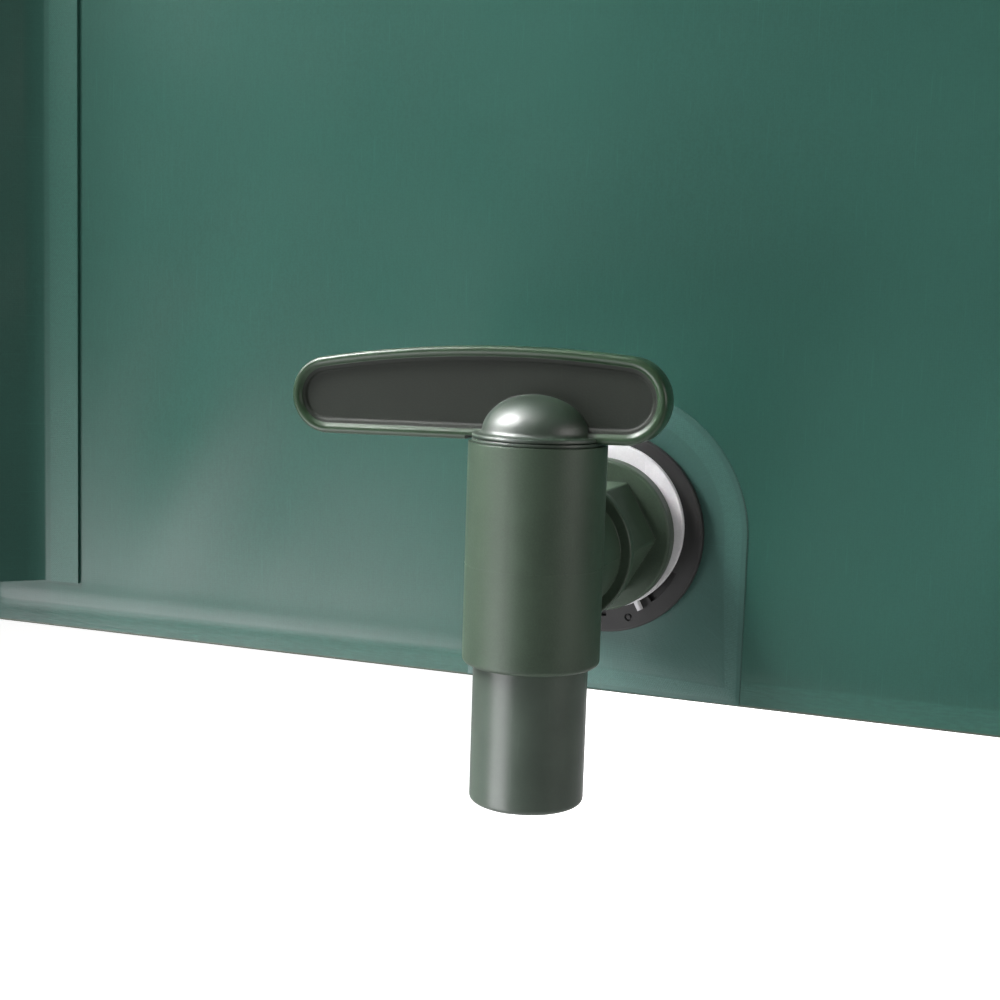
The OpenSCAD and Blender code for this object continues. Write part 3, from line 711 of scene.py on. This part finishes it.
def build_top():
    cols = columns(0.005, 0.005)
    off = -FABRIC - LAP
    z1, z0 = TOP, TOP - FABRIC
    outer = [at_column(c, off, 0) for c in cols]
    inner = []
    for p in outer:
        phi = math.atan2(p.y, p.x)
        r = cut_circle(phi, OPENING_R, OPEN_Y)
        inner.append(Vector((r * math.cos(phi), r * math.sin(phi), 0)))
    us = [c[4] for c in cols] + [6 * SIDE]

    def between(t, z, wave=True):
        out = []
        for p, q in zip(outer, inner):
            v = p.lerp(q, t)
            w = 0.0
            if wave:
                w = (0.0011 * math.sin(math.pi * t) ** 2 * rnd(v.x * 22, v.y * 22, 7.0)
                     * ease(0.02, 0.06, (p - q).length) - 0.0009 * math.sin(math.pi * t) ** 2)
            out.append(Vector((v.x, v.y, z + w)))
        return out

    def skirt(o, z):
        return [at_column(c, o, z) for c in cols]

    b = Build()
    ts = [0.04, 0.12, 0.22, 0.34, 0.46, 0.58, 0.70, 0.82, 0.91, 0.97]
    rings = [skirt(off, TOP - 0.018), skirt(off, TOP - 0.010), skirt(off, TOP - 0.0009)]
    rings += [skirt(off - 0.00025, TOP - 0.0003), skirt(off - 0.0009, TOP)]
    rings += [between(t, z1) for t in ts] + [between(0.995, z1, False), between(1.0, z1 - 0.0002, False)]
    rings += [between(1.0, z0 + 0.0002, False), between(0.995, z0, False)]
    rings += [between(t, z0) for t in reversed(ts)]
    rings += [skirt(off - FABRIC, TOP - 0.002), skirt(off - FABRIC, TOP - 0.018)]
    vs = [i * 0.003 for i in range(len(rings) + 1)]
    b.loft(rings, us, vs)
    b.planar()
    line = circle_pts(OPENING_R + 0.0028, OPEN_Y - 0.004, lambda x, y: TOP, a0=90, a1=450)
    stitch_row(b, [p for p in line if p.y < OPEN_Y - 0.006], 0.00006, 1)
    ob = b.done("bag_top", [fab_top, thread])
    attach(ob, "bag")
    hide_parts("top_sheet")
    return ob


def build_lid():
    n = 360
    phis = [2 * math.pi * i / n for i in range(n)]
    b = Build()
    rings, vs = [], []

    def ring(t, z, inset=0.0):
        out = []
        for p in phis:
            r1 = cut_circle(p, LID_R, FOLD_Y)
            r = HOLE_LID + (r1 - HOLE_LID) * t + inset
            x, y = r * math.cos(p), r * math.sin(p)
            out.append(Vector((x, y, z + sag(x, y))))
        return out

    ts = [0.0, 0.03, 0.08, 0.15, 0.24, 0.33, 0.42, 0.51, 0.60, 0.69, 0.78, 0.87, 0.94, 0.98]
    for t in ts:
        rings.append(ring(t, TOP))
    rings += [ring(0.996, TOP), ring(1.0, TOP - 0.00022), ring(1.0, TOP - FABRIC + 0.00022),
              ring(0.996, TOP - FABRIC)]
    for t in reversed(ts):
        rings.append(ring(t, TOP - FABRIC))
    vs = [0.1 * i / len(rings) for i in range(len(rings) + 1)]
    us = [p * 0.2 for p in phis] + [0.2 * 2 * math.pi]
    b.loft(rings, us, vs)
    b.planar()
    top_at = lambda x, y: TOP + sag(x, y)
    line = circle_pts(LID_R - 0.0028, FOLD_Y - 0.006, top_at, a0=90, a1=450)
    stitch_row(b, line, 0.00006, 1)
    half = math.sqrt(LID_R ** 2 - (FOLD_Y - 0.004) ** 2) - 0.004
    fold = [Vector((x, FOLD_Y - 0.004, top_at(x, FOLD_Y - 0.004))) for x in spread(-half, half, 0.002)]
    stitch_row(b, fold, 0.00006, 1)
    ob = b.done("lid_sheet", [fab_lid, thread])
    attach(ob, "lid")
    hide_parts("lid_panel")

    # binding tape round the net, with two rows of stitches
    b = Build()
    r0, r1 = HOLE_LID - 0.0002, TRIM_HI.x
    z0, z1 = TRIM_LO.z, TRIM_HI.z
    prof = [(r0, z0), (r0, z0 + 0.0005), (r0 + 0.0005, z1 - 0.0001), (r0 + 0.002, z1),
            (r0 + 0.0035, z1 - 0.00012), (r0 + 0.006, z1), (r1 - 0.0035, z1 - 0.00012), (r1 - 0.0016, z1),
            (r1 - 0.0004, z1 - 0.00015),
            (r1, z0 + 0.0003), (r1, z0), (r1 - 0.004, z0), (r0 + 0.004, z0)]
    rings = []
    for r, z in prof:
        ring_pts = []
        for p in phis:
            x, y = r * math.cos(p), r * math.sin(p)
            ring_pts.append(Vector((x, y, z + sag(x, y) + 0.00008 * math.sin(p * 90) * (r > r0 + 0.001))))
        rings.append(ring_pts)
    vs = [0.0012 * i for i in range(len(prof) + 1)]
    us = [p * r0 for p in phis] + [2 * math.pi * r0]
    b.loft(rings, us, vs)
    for r in (r0 + 0.0032, r1 - 0.0032):
        stitch_row(b, circle_pts(r, None, lambda x, y: z1 - 0.00012 + sag(x, y)), 0.00006, 1)
    ob = b.done("net_binding", [tape_cloth, thread_black])
    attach(ob, "lid")
    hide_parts("mesh_trim")

    # the net: crossing threads, each passing over and under its neighbours
    b = Build()
    pitch, rad = 0.0042, 0.00036
    mid = (MESH_LO.z + MESH_HI.z) / 2
    count = int(NET_R / pitch)
    step = pitch / 2
    for d in (0, 1):
        for i in range(-count, count + 1):
            c = i * pitch
            half = math.sqrt(max(NET_R ** 2 - c * c, 0)) - 0.0004
            m = int(half / step)
            if m < 2:
                continue
            rings = []
            for j in range(-m, m + 1):
                a = j * step
                wave = 0.00021 * math.cos(math.pi * a / pitch + math.pi * (i + d))
                wob = 0.00025 * rnd(a * 30, c * 30, 3.0 * d)
                x, y = (a, c + wob) if d == 0 else (c + wob, a)
                z = mid + wave + sag(x, y)
                side = Vector((0, 1, 0)) if d == 0 else Vector((1, 0, 0))
                o = Vector((x, y, z))
                rings.append([o + side * rad, o + Vector((0, 0, rad * 0.8)), o - side * rad,
                              o - Vector((0, 0, rad * 0.8))])
            us = [0, 0.0004, 0.0008, 0.0012, 0.0016]
            b.loft(rings, us, [j * step for j in range(len(rings) + 1)], wrap=False, caps=True)
    ob = b.done("lid_net", [net_thread])
    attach(ob, "lid")
    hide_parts("lid_mesh")


def zip_angles():
    """Angle, from the back, at which the zip starts and stops."""
    return math.acos(clamp(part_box("zip_tape_lid")[1].y / (ZIP_R - 0.0002), -1, 1))


def build_zip():
    end = math.degrees(zip_angles())
    a0, a1 = 90 + end, 450 - end
    for name, node, body, sign in (("zip_bag_side", "zip_tape_bag", "bag", 1),
                                   ("zip_lid_side", "zip_tape_lid", "lid", -1)):
        b = Build()
        near, far = ZIP_R + sign * 0.0002, (TAPE_OUT if sign > 0 else TAPE_INNER)
        n = int(math.radians(a1 - a0) * ZIP_R / 0.004)
        angs = [math.radians(a0 + (a1 - a0) * i / n) for i in range(n + 1)]
        prof = [(near, TAPE_Z0), (near, TAPE_Z1 - 0.0002), (near + sign * 0.0002, TAPE_Z1)]
        prof += [(near + (far - near) * t, TAPE_Z1) for t in (0.2, 0.4, 0.6, 0.8, 1.0)]
        prof += [(near + (far - near) * t, TAPE_Z0) for t in (1.0, 0.6, 0.2)]
        rings = [[Vector((r * math.cos(a), r * math.sin(a), z + 0.00009 * rnd(a * 60, r * 90)
                          * (0.003 < abs(r - near)))) for a in angs] for r, z in prof]
        us = [a * ZIP_R for a in angs]
        vs = [0.002 * i for i in range(len(prof) + 1)]
        b.loft(rings, us, vs, closed=False, wrap=True)
        # nylon coil: one rounded tooth per turn, staggered against the other side's
        pitch = 0.0026
        count = int(math.radians(a1 - a0) * ZIP_R / pitch) - 1
        h = (COIL_TOP - TAPE_Z1) / 2
        for i in range(count):
            a = math.radians(a0) + (i + (0.75 if sign > 0 else 0.25)) * pitch / ZIP_R
            out = Vector((math.cos(a), math.sin(a), 0))
            along = Vector((-math.sin(a), math.cos(a), 0))
            slant = (out + along * 0.22 * sign).normalized()
            c = out * (near + sign * 0.00125) + Vector((0, 0, TAPE_Z1 + h))
            b.blob(c, along * 0.00055, Vector((0, 0, h)), slant * 0.00185, 1, 8, 5, 0.6)
            head = out * (near - sign * 0.00018) + Vector((0, 0, TAPE_Z1 + h))
            b.blob(head, along * 0.0006, Vector((0, 0, h * 0.8)), out * 0.0005, 1, 6, 4, 0.8)
        cord = [Vector((math.cos(a), math.sin(a), 0)) * (near + sign * 0.0046) + Vector((0, 0, TAPE_Z1))
                for a in angs]
        stitch_row(b, cord, 0.00006, 2, 0.0021, 0.0026)
        ob = b.done(name, [tape_cloth, coil_plastic, thread_black])
        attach(ob, body)
        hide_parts(node)


def build_fold():
    """The strip of cloth that joins the lid to the bag."""
    lo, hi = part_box("lid_hinge_strip")
    b = Build()
    xs = spread(lo.x, hi.x, 0.006)
    ys = spread(lo.y, hi.y, 0.0011)
    rings = []
    for y in ys:
        top = [Vector((x, y, hi.z)) for x in xs]
        bot = [Vector((x, y, lo.z)) for x in reversed(xs)]
        rings.append(top + bot)
    n = len(rings[0])
    us = [i * 0.006 for i in range(n + 1)]
    b.loft(rings, us, [y for y in ys] + [0], wrap=False, caps=True)
    ob = b.done("lid_fold", [fab_lid])
    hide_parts("lid_hinge_strip")
    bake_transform(ob)


# ---------------------------------------------------------------- pole sleeves
def sleeve_section(off, r, flap):
    """Half of a sleeve's cross-section beside its corner at azimuth 0: flap, foot, side, round the pole."""
    n = Vector((COS30, 0.5, 0))
    t = Vector((-0.5, COS30, 0))
    tip = Vector((APOTHEM / COS30, 0, 0))
    foot = 0.024
    p = [tip + t * d + n * off for d in flap]
    q = tip + t * foot + n * off
    d = q - Vector((POLE_AT, 0, 0))
    a = math.atan2(d.y, d.x) - math.acos(r / d.length)
    touch = Vector((POLE_AT + r * math.cos(a), r * math.sin(a), 0))
    side = [q.lerp(touch, i / 5) for i in range(6)]
    turns = [a * (1 - i / 9) for i in range(1, 10)]
    arc = [Vector((POLE_AT + r * math.cos(turn), r * math.sin(turn), 0)) for turn in turns]
    return p + side + arc


def build_sleeves():
    z0, z1 = SLEEVE_LO.z, SLEEVE_HI.z
    flap = [0.036, 0.0355, 0.034, 0.031, 0.028, 0.025]
    outer = sleeve_section(LAP + FABRIC, SLEEVE_R, flap)
    inner = sleeve_section(LAP, SLEEVE_R - FABRIC, flap)
    full_o = outer + [Vector((p.x, -p.y, 0)) for p in reversed(outer[:-1])]
    full_i = inner + [Vector((p.x, -p.y, 0)) for p in reversed(inner[:-1])]
    n = len(full_o)
    dist = [0.0]
    for p, q in zip(full_o, full_o[1:]):
        dist.append(dist[-1] + (q - p).length)
    edge = dist[5]
    zs = [z0, z0 + 0.0004, z0 + 0.002, z0 + 0.006] + spread(z0 + 0.014, z1 - 0.014, 0.011)
    zs += [z1 - 0.006, z1 - 0.002, z1 - 0.0004, z1]
    b = Build()
    for i in range(6):
        rot = Matrix.Rotation(math.radians(60 * i), 4, "Z")

        def place(p, z, w):
            v = rot @ (p + w)
            return Vector((v.x, v.y, z))

        rings = []
        for z in zs:
            row = []
            for j in range(n):
                o, inn = full_o[j], full_i[j]
                out = (o - inn).normalized()
                free = ease(0.006, 0.012, abs(abs(dist[j] - dist[-1] / 2) - 0.030) * -1 + 0.020)
                w = free * (0.0009 * rnd(z * 26 + 4 * i, j * 0.35, 1.0) + 0.0005 * math.sin(
                    z * 2 * math.pi / 0.052 + j * 0.5 + i))
                w *= ease(0.0, 0.03, z - z0) * ease(0.0, 0.03, z1 - z)
                row.append((o, inn, out * clamp(w, -0.0005, 0.0012)))
            rings.append([place(o, z, w) for o, inn, w in row]
                         + [place(inn, z, w) for o, inn, w in reversed(row)])
        us = [z for z in dist] + [dist[-1] + 0.001] + [dist[-1] + 0.002 + d for d in dist]
        # V runs across the flaps so that the weld band can be told from it
        base = len(b.f)
        b.loft(rings, us, zs + [z1], wrap=False, caps=True)
        for f in range(base, len(b.f)):
            if len(b.f[f]) == 4:
                q = []
                for (u, v) in b.uv[f]:
                    across = min(u, dist[-1] - u) if u <= dist[-1] else 1.0
                    q.append((v, across - edge if u <= dist[-1] else 0.5))
                b.uv[f] = tuple(q)
        # floor of the pocket under the pole
        ring_b, ring_t = [], []
        pocket = SLEEVE_R - FABRIC - LAP
        for k in range(24):
            a = 2 * math.pi * k / 24
            p = Vector((POLE_AT + pocket * math.cos(a), pocket * math.sin(a), 0))
            ring_b.append(place(p, z0 + 0.0001, Vector((0, 0, 0))))
            ring_t.append(place(p, z0 + FABRIC, Vector((0, 0, 0))))
        b.loft([ring_b, ring_t], [0.004 * k for k in range(25)], [0.3, 0.301], wrap=False, caps=True)
    ob = b.done("sleeves", [fab_sleeve])
    sharpen(ob, 50)
    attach(ob, "bag")
    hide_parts("pole_sleeves")


# ---------------------------------------------------------------- welded patches
def build_patch(name, node, k, zc, edge_at):
    """Reinforcing patch that follows the wall under it. edge_at(angle): distance from the hole's centre."""
    angs = [math.radians(2 * i) for i in range(180)]
    if node == "tap_patch":
        foot = zc - 0.0003
        for a in (math.atan2(-foot, PATCH_R), math.atan2(-foot, -PATCH_R)):
            angs.append(a % (2 * math.pi))
    angs = sorted(angs)
    thick = 0.0005
    b = Build()

    def ring(inset, h):
        out = []
        for a in angs:
            r = max(edge_at(a) - inset, HOLE_R) if inset is not None else HOLE_R
            s, z = r * math.cos(a), zc + r * math.sin(a)
            z = max(z, 0.0003)
            out.append(on_panel(k, s, z, skin(k, s, z) + LAP + h))
        return out

    # (distance in from the edge, height): a weld that thins out, the flat middle, the hole, then back under
    spec = [(0.0, 0.0), (0.0, 0.00004), (0.0004, 0.00010), (0.0009, 0.00016), (0.0015, 0.00022),
            (0.0022, 0.00027), (0.003, 0.00031), (0.0042, 0.00035), (0.0055, 0.00039), (0.0066, 0.00045)]
    spec += [(i, thick) for i in (0.0075, 0.010, 0.013, 0.017, 0.021, 0.026, None)]
    spec += [(i, 0.0) for i in (None, 0.02, 0.01, 0.005)]
    rings = [ring(i, h) for i, h in spec]
    vs = [0.03 if i is None else i for i, _ in spec] + [0.0]
    us = [0.0]
    for i in range(1, len(angs) + 1):
        a, c = angs[i - 1], angs[i % len(angs)]
        p = Vector((edge_at(a) * math.cos(a), edge_at(a) * math.sin(a)))
        q = Vector((edge_at(c) * math.cos(c), edge_at(c) * math.sin(c)))
        us.append(us[-1] + (q - p).length)
    b.loft(rings, us, vs)
    ob = b.done(name, [fab_patch])
    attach(ob, "bag")
    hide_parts(node)


def arch_edge(a):
    c, s = math.cos(a), math.sin(a)
    if s >= 0:
        return PATCH_R
    r = (TAP_Z - 0.0003) / -s
    return min(r, PATCH_R / abs(c)) if abs(c) > 1e-6 else r


# ---------------------------------------------------------------- lever
def build_lever():
    """Arched handle with a rolled rim, a small step inside it and a sunk panel, and a domed hub; the panel
    and the hub take darker copies of the rim's plastic as painted shade.
    """
    mm = 0.001
    small, rs = Vector((-52.3, 36.0)), 9.1
    big, rb = Vector((20.8, 38.2)), 9.9
    arch = 285.0
    d = big - small
    length = d.length
    aa, bb = arch - rs, arch - rb
    x = (length ** 2 + aa ** 2 - bb ** 2) / (2 * length)
    y = math.sqrt(aa ** 2 - x ** 2)
    e = d / length
    cen = small + e * x + Vector((e.y, -e.x)) * y
    ang = lambda v: math.atan2(v.y, v.x)
    a_small, a_big = ang(small - cen), ang(big - cen)
    low = ang(d) - math.pi / 2 + math.asin((rb - rs) / length)

    def outline(inset):
        pts = []
        for c, r, a0, a1, n in ((big, rb - inset, low, a_big, 30), (cen, arch - inset, a_big, a_small, 48),
                                (small, rs - inset, a_small, low + 2 * math.pi, 30)):
            for i in range(n + 1):
                if pts and i == 0:
                    continue
                t = a0 + (a1 - a0) * i / n
                pts.append(c + Vector((math.cos(t), math.sin(t))) * r)
        a, c = pts[-1], pts[0]
        for i in range(1, 40):
            pts.append(a.lerp(c, i / 40))
        return pts

    # (distance in from the outline, half thickness): rolled rim, small step, sunk panel
    order = [(0.0, 2.5), (0.12, 2.95), (0.4, 3.32), (0.8, 3.5), (1.3, 3.5), (1.75, 3.34), (2.1, 3.05),
             (2.3, 2.72), (2.45, 2.62), (3.0, 2.58), (3.25, 2.5), (3.4, 2.3), (3.55, 2.15), (3.9, 2.12),
             (5.0, 2.12)]
    b = Build()
    rings = []
    for i, h in reversed(order):
        rings.append([Vector((p.x * mm, TAP_Y + h * mm, TAP_Z + p.y * mm)) for p in outline(i)])
    rings.append([Vector((p.x * mm, TAP_Y, TAP_Z + p.y * mm)) for p in outline(0)])
    for i, h in order:
        rings.append([Vector((p.x * mm, TAP_Y - h * mm, TAP_Z + p.y * mm)) for p in outline(i)])
    n = len(rings[0])
    b.loft(rings, [k * 0.002 for k in range(n + 1)], [k * 0.001 for k in range(len(rings) + 1)], wrap=False,
           caps=True)
    last = len(rings) - 2
    sunk = sum(1 for i, h in order if i > 2.4)
    # The sunk panel's faces, end caps included, take the darker panel material: painted shade.
    for f, q in enumerate(b.f):
        row = f // n
        if len(q) > 4 or row < sunk - 1 or row > last - sunk + 1:
            b.m[f] = 1
    ob = b.done("lever", [mould_lever, mould_panel_painted_shade, mould_hub_painted_shade])

    def turned(profile, n=96):
        bm = Build()
        rr = []
        turns = [2 * math.pi * k / n for k in range(n)]
        for r, z in profile:
            rr.append([Vector((r * mm * math.cos(t), TAP_Y + r * mm * math.sin(t), TAP_Z + z * mm))
                       for t in turns])
        bm.loft(rr, [k * 0.001 for k in range(n + 1)], [k * 0.001 for k in range(len(rr) + 1)], wrap=False,
                caps=True)
        # Turned pieces take the hub material, a darker copy of the lever's plastic: painted shade.
        bm.m = [2] * len(bm.m)
        return bm.done("turned", [mould_lever, mould_panel_painted_shade, mould_hub_painted_shade])

    hub = [(0.3, 28.5), (14.9, 28.5), (15.2, 28.7), (15.2, 29.3), (14.95, 29.5), (14.0, 29.55), (13.45, 29.7),
           (13.1, 30.1)]
    for i in range(1, 16):
        t = math.pi / 2 * i / 16
        hub.append((13.0 * math.cos(t), 29.7 + 9.1 * math.sin(t)))
    hub.append((0.3, 38.8))
    notch = turned([(0.1, -60), (16.9, -60), (16.9, 28.5), (0.1, 28.5)])
    boolean(ob, notch, "DIFFERENCE")
    boolean(ob, turned(hub), "UNION")
    size = 5.05 * mm
    bpy.ops.mesh.primitive_cube_add(size=1)
    cube = bpy.context.object
    z0, z1 = 20 * mm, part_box("tap_plug")[1].z - TAP_Z + LAP
    cube.scale = (2 * size, 2 * size, z1 - z0)
    cube.location = (0, TAP_Y, TAP_Z + (z0 + z1) / 2)
    bpy.context.view_layer.update()
    boolean(ob, cube, "DIFFERENCE")
    sharpen(ob, 38)
    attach(ob, "tap_plug")
    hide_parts("tap_lever")


# ---------------------------------------------------------------- CAD nodes that stay
def paint():
    kept = {
        "tap_housing": mould_body, "tap_plug": mould_plug, "tap_washer": washer_plastic,
        "tap_gasket_outer": rubber_black, "tap_gasket_inner": rubber_black, "tap_seal_rings": rubber_black,
        "tap_back_nut": mould_dark, "overflow_fitting": mould_body, "overflow_gasket_outer": rubber_black,
        "overflow_gasket_inner": rubber_black, "overflow_back_nut": mould_dark, "zip_slider": slider_metal,
        "zip_pull_tab": slider_metal, "zip_stops": slider_metal,
    }
    for i in range(1, 7):
        kept["pole_%d" % i] = pole_plastic
        kept["pole_caps_%d" % i] = cap_plastic
    for node, mat in kept.items():
        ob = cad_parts[node]
        ob.data.materials.clear()
        ob.data.materials.append(mat)


# ---------------------------------------------------------------- stage, light and camera
def plain(name, colour, rough, glow=0.0):
    m, nt, b = material(name)
    obj = add(nt, "TexCoord").outputs["Object"]
    col = mix(nt, fit(nt, tex(nt, obj, 3.0, 2.0), 0.3, 0.7), shade(colour, 0.985), colour)
    nt.links.new(col, b.inputs["Base Color"])
    b.inputs["Roughness"].default_value = rough
    seen = add(nt, "LightPath").outputs["Is Camera Ray"]
    nt.links.new(col, b.inputs["Emission Color"])
    nt.links.new(mul(nt, seen, glow), b.inputs["Emission Strength"])
    return m


def light(name, at, target, size, power, colour=(1, 1, 1), size_y=None):
    d = bpy.data.lights.new(name, "AREA")
    d.shape = "RECTANGLE"
    d.size, d.size_y = size, size_y or size
    d.energy = power
    d.color = colour
    o = bpy.data.objects.new(name, d)
    bpy.context.scene.collection.objects.link(o)
    o.location = at
    o.rotation_euler = (Vector(target) - Vector(at)).to_track_quat("-Z", "Y").to_euler()
    return o


def build_stage():
    bpy.ops.mesh.primitive_circle_add(vertices=128, radius=7, fill_type="NGON", location=(0, 0, -0.7))
    floor = bpy.context.object
    floor.name = "floor"
    floor.data.materials.append(plain("floor", (0.93, 0.93, 0.925, 1), 0.7, 0.75))
    bpy.ops.mesh.primitive_cylinder_add(vertices=128, radius=0.15, depth=0.6999, location=(0, 0.04, -0.35005))
    stand = bpy.context.object
    stand.name = "plinth"
    stand.data.materials.append(plain("plinth", (0.95, 0.95, 0.945, 1), 0.8, 1.1))
    world = bpy.data.worlds.new("studio")
    bpy.context.scene.world = world
    world.use_nodes = True
    nt = world.node_tree
    nt.nodes.clear()
    out = nt.nodes.new("ShaderNodeOutputWorld")
    path = nt.nodes.new("ShaderNodeLightPath")
    seen = nt.nodes.new("ShaderNodeBackground")
    lit = nt.nodes.new("ShaderNodeBackground")
    seen.inputs["Color"].default_value = (1, 1, 1, 1)
    seen.inputs["Strength"].default_value = 1.0
    lit.inputs["Color"].default_value = (1, 1, 1, 1)
    lit.inputs["Strength"].default_value = 0.15
    pick = nt.nodes.new("ShaderNodeMixShader")
    nt.links.new(path.outputs["Is Camera Ray"], pick.inputs[0])
    nt.links.new(lit.outputs[0], pick.inputs[1])
    nt.links.new(seen.outputs[0], pick.inputs[2])
    nt.links.new(pick.outputs[0], out.inputs[0])
    # places are given from the point where the tap's axis meets the wall; powers are in watts
    w = Vector((0, -APOTHEM, TAP_Z))
    light("key", w + Vector((-0.66, -0.32, 0.62)), w, 0.4, 15.0)
    light("low", w + Vector((-0.64, -0.78, -0.45)), w, 0.66, 9.1, (1.0, 0.985, 1.01), size_y=0.56)
    light("over", w + Vector((-0.26, -0.34, 1.2)), w, 0.7, 3.4)
    spot = light("hub", w + Vector((-0.66, -0.34, 0.86)), Vector((0, TAP_Y, TAP_Z + 0.035)), 0.26, 0.36)
    spot.data.spread = math.radians(15)
    light("right", w + Vector((1.2, -0.26, 0.25)), w, 0.6, 5.2, (1.0, 0.97, 0.93))
    graze = light("graze", w + Vector((-0.75, -0.12, 0.35)), w + Vector((-0.1, 0, 0.05)), 0.3, 1.3)
    graze.data.spread = math.radians(120)
    light("behind", Vector((-1.4, 2.2, 1.8)), Vector((0, 0, 0.5)), 1.4, 34.0)
    light("behind right", Vector((2.2, 1.4, 1.2)), Vector((0, 0, 0.5)), 1.2, 24.0)
    bpy.context.scene.view_settings.view_transform = "Standard"


def build_camera():
    yaw, pitch, roll = math.radians(20.05), math.radians(7.27), math.radians(1.83)
    back = Vector((math.sin(yaw) * math.cos(pitch), -math.cos(yaw) * math.cos(pitch), math.sin(pitch)))
    right = Vector((math.cos(yaw), math.sin(yaw), 0))
    up = back.cross(right)
    r = right * math.cos(roll) + up * math.sin(roll)
    u = up * math.cos(roll) - right * math.sin(roll)
    cam = bpy.data.cameras.new("camera")
    cam.lens = 57.65
    cam.sensor_width = 36
    cam.clip_start = 0.01
    ob = bpy.data.objects.new("camera", cam)
    bpy.context.scene.collection.objects.link(ob)
    from_tap = Vector((0.11725, -0.40344, 0.06058))
    at = Vector((0, -APOTHEM, TAP_Z)) + from_tap
    ob.matrix_world = Matrix(((r.x, u.x, back.x, at.x), (r.y, u.y, back.y, at.y), (r.z, u.z, back.z, at.z),
                              (0, 0, 0, 1)))
    bpy.context.scene.camera = ob


build_wall()
build_base()
build_top()
build_lid()
build_zip()
build_fold()
build_sleeves()
build_patch("patch_tap", "tap_patch", 0, TAP_Z, arch_edge)
build_patch("patch_overflow", "overflow_patch", OVERFLOW_PANEL, OVER_Z, lambda a: OVER_R)
build_lever()
paint()
build_stage()
build_camera()

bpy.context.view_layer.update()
